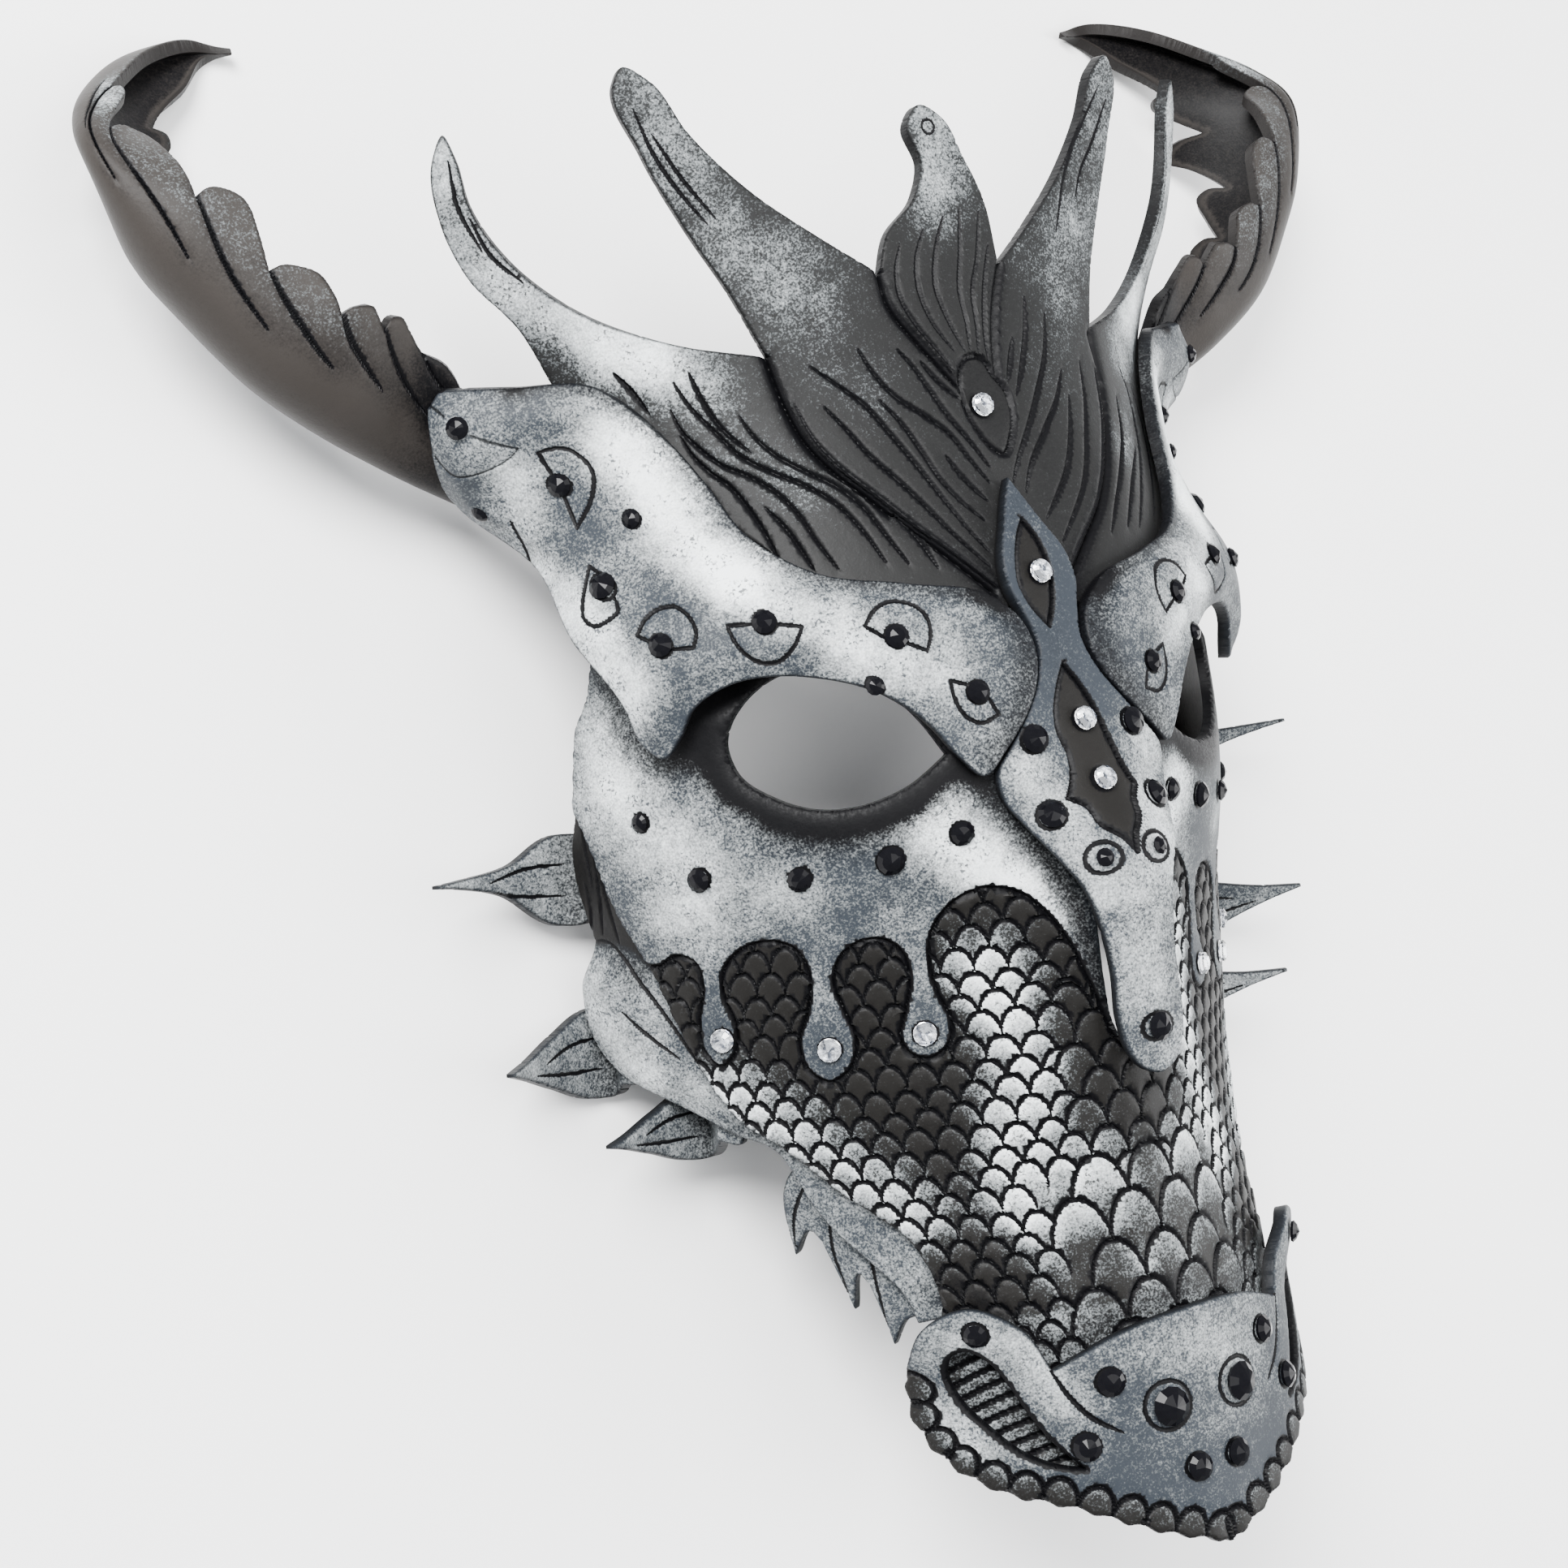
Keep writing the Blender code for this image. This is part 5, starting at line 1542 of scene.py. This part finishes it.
def build_spikes():
    for i, (root, tip, half) in enumerate(SPIKES):
        left = spike("jaw_spike_carved_left_%d" % (i + 1), root, tip, half, *SPIKE_LEAVES[i],
                     SPIKE_SEATS[i])
        face_outwards(left.data)
        pair(left, "jaw_spike_carved_right_%d" % (i + 1), "jaw_spike_left_%d" % (i + 1),
             "jaw_spike_right_%d" % (i + 1))


def face_outwards(mesh):
    bm = bmesh.new()
    bm.from_mesh(mesh)
    if bm.calc_volume(signed=True) < 0:
        bmesh.ops.reverse_faces(bm, faces=bm.faces[:])
    bm.to_mesh(mesh)
    bm.free()


def stone_frame(form, u, v, lift):
    """Place and turn of a stone that stands on a layer's outer face."""
    place = form(np.array([u, u + PROBE, u - PROBE, u, u], float),
                 np.array([v, v, v, v + PROBE, v - PROBE], float), np.ones(5))
    normal = Vector(np.cross(place[1] - place[2], place[3] - place[4])).normalized()
    turn = Vector((0, 0, 1)).rotation_difference(normal).to_matrix().to_4x4()
    return Matrix.Translation(Vector(place[0]) * MM + normal * lift) @ turn


def drum(segments, lower, upper, depth, middle):
    """Low drum that a stone is cut from: its radii, its depth and the height of its middle."""
    bm = bmesh.new()
    bmesh.ops.create_cone(bm, cap_ends=True, segments=segments, radius1=lower, radius2=upper,
                          depth=depth, matrix=Matrix.Translation((0, 0, middle)))
    return bm


def top_face(faces):
    return max(faces, key=lambda f: f.calc_center_median().z)


def placed_stone(name, bm, frame_matrix):
    bm.transform(frame_matrix)
    return add_object(name, new_mesh(name, bm))


def black_stone(name, frame_matrix, radius):
    """Pointed black stone: a girdle, a ring of slanting facets and a point."""
    height = radius * STONE_HEIGHT
    bm = drum(12, radius * 0.9, radius, height * 0.3, height * 0.15)
    bmesh.ops.inset_individual(bm, faces=[top_face(bm.faces)], thickness=radius * 0.36,
                               depth=height * 0.4)
    bmesh.ops.poke(bm, faces=[top_face(bm.faces)], offset=height * 0.3)
    return placed_stone(name, bm, frame_matrix)


def clear_stone(name, frame_matrix, radius):
    """Clear crystal: a girdle, a crown of facets and a flat table."""
    height = radius * STONE_HEIGHT
    bm = drum(12, radius * 0.94, radius, height * 0.3, height * 0.35)
    bmesh.ops.inset_individual(bm, faces=[top_face(bm.faces)], thickness=radius * 0.42,
                               depth=height * 0.4)
    return placed_stone(name, bm, frame_matrix)


def foil(name, frame_matrix, radius):
    """Bright faceted foil under a clear stone."""
    height = radius * STONE_HEIGHT
    bm = drum(16, radius, radius * 0.9, height * 0.1, height * 0.05)
    bmesh.ops.inset_individual(bm, faces=[top_face(bm.faces)], thickness=radius * 0.3,
                               depth=height * 0.04)
    middle = top_face([f for f in bm.faces if len(f.verts) > 4])
    bmesh.ops.poke(bm, faces=[middle], offset=-height * 0.1)
    for k, vert in enumerate(bm.verts):
        vert.co.z += height * 0.05 * ((k % 3) - 1) * (vert.co.z > height * 0.06)
    return placed_stone(name, bm, frame_matrix)


def set_stone(name, node, form, u, v, radius, clear):
    """Make one stone and hand it over."""
    matrix = stone_frame(form, u, v, STONE_GAP)
    maker = clear_stone if clear else black_stone
    obj = maker(name, matrix, radius)
    kind = "clear_stone" if clear else "black_stone"
    hand_over(obj, node, stone_material(kind))
    if clear:
        under = foil("foil_" + node, matrix, radius)
        hand_over(under, None, foil_material())


def set_pairs(prefix, form, table):
    for i, (u, v, radius, clear) in enumerate(table):
        for side, word in ((1, "left"), (-1, "right")):
            tail = "_%s_%d" % (word, i + 1)
            node = prefix + tail
            set_stone("set_" + node, node, form, side * u, v, radius, clear)


def build_stones():
    set_pairs("cheek_stone", face_form, CHEEK_STONES)
    set_pairs("strap_stone", strap_form, STRAP_STONES)
    set_pairs("snout_stone", plate_form, PLATE_STONES)
    for i, (u, v, radius, clear) in enumerate(STRAP_MIDDLE_STONES):
        node = "strap_stone_middle_%d" % (i + 1)
        set_stone("set_" + node, node, strap_form, u, v, radius, clear)
    u, v, radius, clear = CREST_STONE
    set_stone("set_crest_stone", "crest_stone", crest_form, u, v, radius, clear)
    for i, (u, v, radius) in enumerate(BROW_STONES):
        matrix = stone_frame(brow_form, u, v, 0.0)
        left = black_stone("brow_stone_left_%d" % (i + 1), matrix, radius)
        right = mirror_copy(left, "brow_stone_right_%d" % (i + 1))
        for obj in (left, right):
            hand_over(obj, None, stone_material("black_stone"))


def new_group(name, inputs, outputs):
    """Empty shader node group with float or colour sockets."""
    group = bpy.data.node_groups.new(name, "ShaderNodeTree")
    kinds = {"f": "NodeSocketFloat", "c": "NodeSocketColor", "v": "NodeSocketVector"}
    for label, kind in inputs:
        group.interface.new_socket(name=label, in_out="INPUT", socket_type=kinds[kind])
    for label, kind in outputs:
        group.interface.new_socket(name=label, in_out="OUTPUT", socket_type=kinds[kind])
    return group, group.nodes.new("NodeGroupInput"), group.nodes.new("NodeGroupOutput")


class Wiring:
    """Short hand for adding nodes to a tree and joining them."""

    def __init__(self, tree):
        self.tree = tree

    def feed(self, socket, value):
        if isinstance(value, bpy.types.NodeSocket):
            self.tree.links.new(value, socket)
        elif value is not None:
            socket.default_value = value

    def math(self, operation, a, b=None, clamp=False):
        node = self.tree.nodes.new("ShaderNodeMath")
        node.operation = operation
        node.use_clamp = clamp
        self.feed(node.inputs[0], a)
        self.feed(node.inputs[1], b)
        return node.outputs[0]

    def mix(self, factor, a, b):
        node = self.tree.nodes.new("ShaderNodeMix")
        node.data_type = "RGBA"
        self.feed(node.inputs["Factor"], factor)
        self.feed(node.inputs[6], a)
        self.feed(node.inputs[7], b)
        return node.outputs[2]

    def noise(self, vector, scale, detail=2.0, roughness=0.5):
        node = self.tree.nodes.new("ShaderNodeTexNoise")
        self.feed(node.inputs["Vector"], vector)
        node.inputs["Scale"].default_value = scale
        node.inputs["Detail"].default_value = detail
        node.inputs["Roughness"].default_value = roughness
        return node.outputs["Fac"]

    def ramp(self, value, low, high):
        node = self.tree.nodes.new("ShaderNodeMapRange")
        node.interpolation_type = "SMOOTHSTEP"
        self.feed(node.inputs["Value"], value)
        node.inputs["From Min"].default_value = low
        node.inputs["From Max"].default_value = high
        return node.outputs["Result"]

    def attribute(self, name):
        node = self.tree.nodes.new("ShaderNodeAttribute")
        node.attribute_name = name
        return node.outputs["Fac"]

    def place(self):
        return self.tree.nodes.new("ShaderNodeTexCoord").outputs["Object"]


def painted_group():
    """Silver paint brushed in speckles over dark leather, with painted highlights in its cover,
    airbrushed black and painted shade, and ink.
    """
    found = bpy.data.node_groups.get("brushed_paint")
    if found:
        return found
    group, given, result = new_group(
        "brushed_paint",
        (("Place", "v"), ("Silver", "f"), ("Shade", "f"), ("Ink", "f"), ("Field", "f"),
         ("Leather", "c"), ("Field Leather", "c"), ("Paint", "c"), ("Cool Paint", "c"),
         ("Black", "c")),
        (("Color", "c"), ("Roughness", "f"), ("Height", "f")))
    w = Wiring(group)
    place = given.outputs["Place"]
    fine = w.noise(place, FINE_GRAIN, 3.0, 0.65)
    medium = w.noise(place, MEDIUM_GRAIN, 3.0, 0.6)
    cloud = w.noise(place, CLOUD_GRAIN, 4.0, 0.62)
    patches = w.noise(place, PATCH_GRAIN, 3.0, 0.6)
    specks = w.noise(place, SPECK_GRAIN, 2.0, 0.5)
    grain = w.math("ADD", w.math("MULTIPLY", fine, 2.0), w.math("MULTIPLY", medium, 0.75))
    grain = w.math("SUBTRACT", grain, 0.875)
    silver = given.outputs["Silver"]
    lift = w.math("MULTIPLY", w.math("SUBTRACT", cloud, 0.5), 0.9)
    lift = w.math("MULTIPLY", lift, w.ramp(silver, 0.0, 0.6))
    cover = w.math("ADD", silver, lift)
    cover = w.math("MULTIPLY", cover, w.ramp(silver, -0.1, 0.3))
    level = w.math("ADD", grain, w.math("MULTIPLY", w.math("SUBTRACT", cover, 0.5), 1.3))
    mask = w.ramp(level, 0.20, 0.52)
    haze = w.math("MULTIPLY", cover, 0.28, clamp=True)
    mask = w.math("MAXIMUM", mask, haze)
    mask = w.math("MULTIPLY", mask, w.ramp(cover, -0.05, 0.5), clamp=True)
    flecks = w.math("MULTIPLY", w.ramp(specks, 0.53, 0.62), w.ramp(patches, 0.44, 0.62))
    flecks = w.math("MULTIPLY", flecks, 0.85)
    mask = w.math("MULTIPLY", mask, w.math("SUBTRACT", 1.0, flecks))
    # The cover, painted highlights included, sets how bright the paint is
    bright = w.math("ADD", cover, w.math("MULTIPLY", w.math("SUBTRACT", grain, 0.5), 0.5))
    paint = w.mix(w.ramp(bright, 0.33, 1.50), given.outputs["Cool Paint"], given.outputs["Paint"])
    leather_colour = w.mix(given.outputs["Field"], given.outputs["Leather"],
                           given.outputs["Field Leather"])
    colour = w.mix(mask, leather_colour, paint)
    # Airbrushed black and painted shade darken the colour towards black
    dusk = given.outputs["Shade"]
    shade = w.math("ADD", dusk, w.math("MULTIPLY", w.math("SUBTRACT", 0.5, grain), 0.5))
    shade = w.math("POWER", w.ramp(shade, 0.0, 1.15), 1.5)
    shade = w.math("MULTIPLY", shade, w.ramp(dusk, 0.0, 0.22))
    colour = w.mix(shade, colour, given.outputs["Black"])
    ink = w.ramp(given.outputs["Ink"], 0.15, 0.6)
    colour = w.mix(ink, colour, given.outputs["Black"])
    rough = w.math("ADD", 0.42, w.math("MULTIPLY", mask, 0.12))
    rough = w.math("ADD", rough, w.math("MULTIPLY", fine, 0.12))
    group.links.new(colour, result.inputs["Color"])
    group.links.new(rough, result.inputs["Roughness"])
    pores = w.math("ADD", w.math("MULTIPLY", medium, 0.7), w.math("MULTIPLY", fine, 0.3))
    group.links.new(pores, result.inputs["Height"])
    return group


def new_material(name):
    """Material with nodes: itself, its tree's wiring and its shader."""
    result = bpy.data.materials.new(name)
    result.use_nodes = True
    return result, Wiring(result.node_tree), result.node_tree.nodes["Principled BSDF"]


def leather_material(kind):
    """Painted leather with its painted highlights and painted shade: the silver, the dark and the
    horn kind differ in their ground.
    """
    name = kind + "_painted_leather"
    found = bpy.data.materials.get(name)
    if found:
        return found
    result, w, shader = new_material(name)
    tree = result.node_tree
    node = tree.nodes.new("ShaderNodeGroup")
    node.node_tree = painted_group()
    w.feed(node.inputs["Place"], w.place())
    for label, source in (("Silver", "silver"), ("Shade", "shade"), ("Ink", "ink")):
        w.feed(node.inputs[label], w.attribute(source))
    field = w.math("MINIMUM", w.attribute("field"), 1.0)
    w.feed(node.inputs["Field"], field)
    c = colours()
    ground = {"silver": (c.dark, c.scales), "dark": (c.crest, c.crest), "horn": (c.horn, c.horn)}
    node.inputs["Leather"].default_value = (*ground[kind][0], 1)
    node.inputs["Field Leather"].default_value = (*ground[kind][1], 1)
    node.inputs["Paint"].default_value = (*c.silver, 1)
    node.inputs["Cool Paint"].default_value = (*c.cool, 1)
    node.inputs["Black"].default_value = (*c.ink, 1)
    w.feed(shader.inputs["Base Color"], node.outputs["Color"])
    w.feed(shader.inputs["Roughness"], node.outputs["Roughness"])
    bump = tree.nodes.new("ShaderNodeBump")
    bump.inputs["Strength"].default_value = 0.28
    bump.inputs["Distance"].default_value = 0.0004
    w.feed(bump.inputs["Height"], node.outputs["Height"])
    w.feed(shader.inputs["Normal"], bump.outputs["Normal"])
    shader.inputs["Specular IOR Level"].default_value = 0.10
    return result


def stone_material(kind):
    """Glossy black stone or clear crystal."""
    found = bpy.data.materials.get(kind + "_gloss")
    if found:
        return found
    result, w, shader = new_material(kind + "_gloss")
    cloud = w.noise(w.place(), 900.0, 2.0)
    if kind == "black_stone":
        colour = w.mix(cloud, (*colours().stone, 1), (0.004, 0.004, 0.005, 1))
        w.feed(shader.inputs["Base Color"], colour)
        shader.inputs["Roughness"].default_value = 0.05
        shader.inputs["Specular IOR Level"].default_value = 0.4
        shader.inputs["IOR"].default_value = 1.2
    else:
        colour = w.mix(cloud, (0.93, 0.95, 0.97, 1), (0.80, 0.82, 0.86, 1))
        w.feed(shader.inputs["Base Color"], colour)
        shader.inputs["Roughness"].default_value = 0.03
        shader.inputs["Transmission Weight"].default_value = 1.0
        shader.inputs["IOR"].default_value = 1.7
    return result


def foil_material():
    """Silver foil, mottled dark and bright."""
    found = bpy.data.materials.get("stone_foil")
    if found:
        return found
    result, w, shader = new_material("stone_foil")
    cloud = w.ramp(w.noise(w.place(), 850.0, 2.0), 0.40, 0.56)
    w.feed(shader.inputs["Base Color"], w.mix(cloud, (0.12, 0.13, 0.16, 1), (1.0, 1.0, 1.0, 1)))
    shader.inputs["Metallic"].default_value = 0.6
    shader.inputs["Roughness"].default_value = 0.25
    return result


def floor_material():
    result, w, shader = new_material("pale_floor")
    cloud = w.noise(w.place(), 3.0, 2.0)
    colour = w.mix(cloud, (0.90, 0.90, 0.90, 1), (0.93, 0.93, 0.93, 1))
    w.feed(shader.inputs["Base Color"], colour)
    shader.inputs["Roughness"].default_value = 0.9
    return result


def build_stage():
    """Pale floor, soft lights and the camera at the photograph's angle."""
    bm = bmesh.new()
    bmesh.ops.create_grid(bm, x_segments=1, y_segments=1, size=settings().floor / 2)
    floor = add_object("floor", new_mesh("floor", bm))
    floor.data.materials.append(floor_material())
    for light in LIGHTS:
        add_area(*light)
    world = bpy.data.worlds.new("studio")
    world.use_nodes = True
    background = world.node_tree.nodes["Background"]
    background.inputs["Color"].default_value = (0.95, 0.97, 1.0, 1)
    background.inputs["Strength"].default_value = 0.85
    bpy.context.scene.world = world
    add_camera()


def add_area(name, place, size, power):
    data = bpy.data.lights.new(name, "AREA")
    data.shape = "DISK"
    data.size = size
    data.energy = power
    obj = add_object(name, data)
    obj.location = place
    aim = Vector((0, 0, 0.05)) - Vector(place)
    obj.rotation_euler = aim.to_track_quat("-Z", "Y").to_euler()


def add_camera():
    """Camera in the mask frame, tilted with the mask."""
    data = bpy.data.cameras.new("camera")
    data.sensor_width = SENSOR
    data.sensor_height = SENSOR
    data.sensor_fit = "HORIZONTAL"
    data.lens = LENS
    obj = add_object("camera", data)
    forward = Vector(CAMERA_FORWARD).normalized()
    right = forward.cross(Vector(CAMERA_UP)).normalized()
    up = right.cross(forward)
    turn = Matrix((right, up, -forward)).transposed().to_4x4()
    place = Matrix.Translation(Vector(CAMERA_EYE) * MM) @ turn
    obj.matrix_world = rest_matrix() @ place
    bpy.context.scene.camera = obj


class MaskSizes(bpy.types.PropertyGroup):
    """Sizes a user may change."""

    grid: bpy.props.FloatProperty(
        name="Leather grid", description="Spacing of the fine grid that the leather is cut on",
        default=0.0010, min=0.0008, unit="LENGTH")
    face_grid: bpy.props.FloatProperty(
        name="Face grid", description="Spacing of the grid that the face and its scales are cut on",
        default=0.0013, min=0.0010, unit="LENGTH")
    rim_round: bpy.props.FloatProperty(
        name="Rim rounding", description="Radius of the rounded rim of the leather",
        default=0.0008, min=0.0002, unit="LENGTH")
    floor: bpy.props.FloatProperty(
        name="Floor", description="Side of the pale floor", default=12.0, min=1.0, unit="LENGTH")


class MaskColours(bpy.types.PropertyGroup):
    """Colours of paint, leather and stones."""

    # The silver paint's colour, which is also the colour of the painted highlights
    silver: bpy.props.FloatVectorProperty(
        name="Silver paint", description="Silver paint where it covers well",
        default=(0.80, 0.84, 0.85), subtype="COLOR", size=3, min=0, max=1)
    cool: bpy.props.FloatVectorProperty(
        name="Cool silver", description="Bluer silver where the paint is thin",
        default=(0.061, 0.067, 0.070), subtype="COLOR", size=3, min=0, max=1)
    dark: bpy.props.FloatVectorProperty(
        name="Ground", description="Leather under the silver paint",
        default=(0.018, 0.022, 0.028), subtype="COLOR", size=3, min=0, max=1)
    scales: bpy.props.FloatVectorProperty(
        name="Scales", description="Leather of the scale field",
        default=(0.007, 0.0065, 0.006), subtype="COLOR", size=3, min=0, max=1)
    crest: bpy.props.FloatVectorProperty(
        name="Crest", description="Leather of the crest",
        default=(0.008, 0.008, 0.008), subtype="COLOR", size=3, min=0, max=1)
    horn: bpy.props.FloatVectorProperty(
        name="Horn", description="Leather of the horns",
        default=(0.024, 0.021, 0.019), subtype="COLOR", size=3, min=0, max=1)
    # This black is also the colour of the painted shade
    ink: bpy.props.FloatVectorProperty(
        name="Ink", description="Black in the carved lines and along the rims",
        default=(0.0015, 0.0015, 0.002), subtype="COLOR", size=3, min=0, max=1)
    stone: bpy.props.FloatVectorProperty(
        name="Black stones", description="Body of the black stones",
        default=(0.002, 0.002, 0.003), subtype="COLOR", size=3, min=0, max=1)


class MASK_OT_make_face(bpy.types.Operator):
    """Carve and paint the face shell with its scales."""

    bl_idname = "mask.make_face"
    bl_label = "Face"

    def execute(self, context):
        build_face()
        return {"FINISHED"}


class MASK_OT_make_crest(bpy.types.Operator):
    """Carve and paint the crest and its spikes."""

    bl_idname = "mask.make_crest"
    bl_label = "Crest"

    def execute(self, context):
        build_crest()
        return {"FINISHED"}


class MASK_OT_make_strap(bpy.types.Operator):
    """Carve and paint the nose strap."""

    bl_idname = "mask.make_strap"
    bl_label = "Nose strap"

    def execute(self, context):
        build_strap()
        return {"FINISHED"}


class MASK_OT_make_plate(bpy.types.Operator):
    """Carve and paint the snout plate."""

    bl_idname = "mask.make_plate"
    bl_label = "Snout plate"

    def execute(self, context):
        build_plate()
        return {"FINISHED"}


class MASK_OT_make_brows(bpy.types.Operator):
    """Carve and paint the two brows."""

    bl_idname = "mask.make_brows"
    bl_label = "Brows"

    def execute(self, context):
        build_brows()
        return {"FINISHED"}


class MASK_OT_make_jaws(bpy.types.Operator):
    """Carve and paint the two jaw strips."""

    bl_idname = "mask.make_jaws"
    bl_label = "Jaw strips"

    def execute(self, context):
        build_jaws()
        return {"FINISHED"}


class MASK_OT_make_frills(bpy.types.Operator):
    """Carve and paint the two jaw frills."""

    bl_idname = "mask.make_frills"
    bl_label = "Frills"

    def execute(self, context):
        build_frills()
        return {"FINISHED"}


class MASK_OT_make_horns(bpy.types.Operator):
    """Carve and paint the two horns."""

    bl_idname = "mask.make_horns"
    bl_label = "Horns"

    def execute(self, context):
        build_horns()
        return {"FINISHED"}


class MASK_OT_make_spikes(bpy.types.Operator):
    """Carve and paint the six jaw spikes."""

    bl_idname = "mask.make_spikes"
    bl_label = "Jaw spikes"

    def execute(self, context):
        build_spikes()
        return {"FINISHED"}


class MASK_OT_make_stones(bpy.types.Operator):
    """Set the black and the clear stones."""

    bl_idname = "mask.make_stones"
    bl_label = "Stones"

    def execute(self, context):
        build_stones()
        return {"FINISHED"}


class MASK_OT_make_stage(bpy.types.Operator):
    """Lay the floor and set the lights and the camera."""

    bl_idname = "mask.make_stage"
    bl_label = "Stage"

    def execute(self, context):
        build_stage()
        return {"FINISHED"}


OPERATORS = (
    MASK_OT_make_face,
    MASK_OT_make_crest,
    MASK_OT_make_strap,
    MASK_OT_make_plate,
    MASK_OT_make_brows,
    MASK_OT_make_jaws,
    MASK_OT_make_frills,
    MASK_OT_make_horns,
    MASK_OT_make_spikes,
    MASK_OT_make_stones,
    MASK_OT_make_stage,
)


class MASK_PT_panel(bpy.types.Panel):
    """Panel that lists the sizes, the colours and the steps."""

    bl_idname = "MASK_PT_panel"
    bl_label = "Dragon mask"
    bl_space_type = "VIEW_3D"
    bl_region_type = "UI"
    bl_category = "Mask"

    def draw(self, context):
        for group in (context.scene.mask_sizes, context.scene.mask_colours):
            for name in group.bl_rna.properties.keys():
                if name not in ("rna_type", "name"):
                    self.layout.prop(group, name)
        for step in OPERATORS:
            self.layout.operator(step.bl_idname)


CLASSES = (MaskSizes, MaskColours) + OPERATORS + (MASK_PT_panel,)


def register():
    for item in CLASSES:
        bpy.utils.register_class(item)
    bpy.types.Scene.mask_sizes = bpy.props.PointerProperty(type=MaskSizes)
    bpy.types.Scene.mask_colours = bpy.props.PointerProperty(type=MaskColours)


def unregister():
    del bpy.types.Scene.mask_colours
    del bpy.types.Scene.mask_sizes
    for item in reversed(CLASSES):
        bpy.utils.unregister_class(item)


def main():
    register()
    for step in OPERATORS:
        family, name = step.bl_idname.split(".")
        getattr(getattr(bpy.ops, family), name)()


if __name__ == "__main__":
    main()
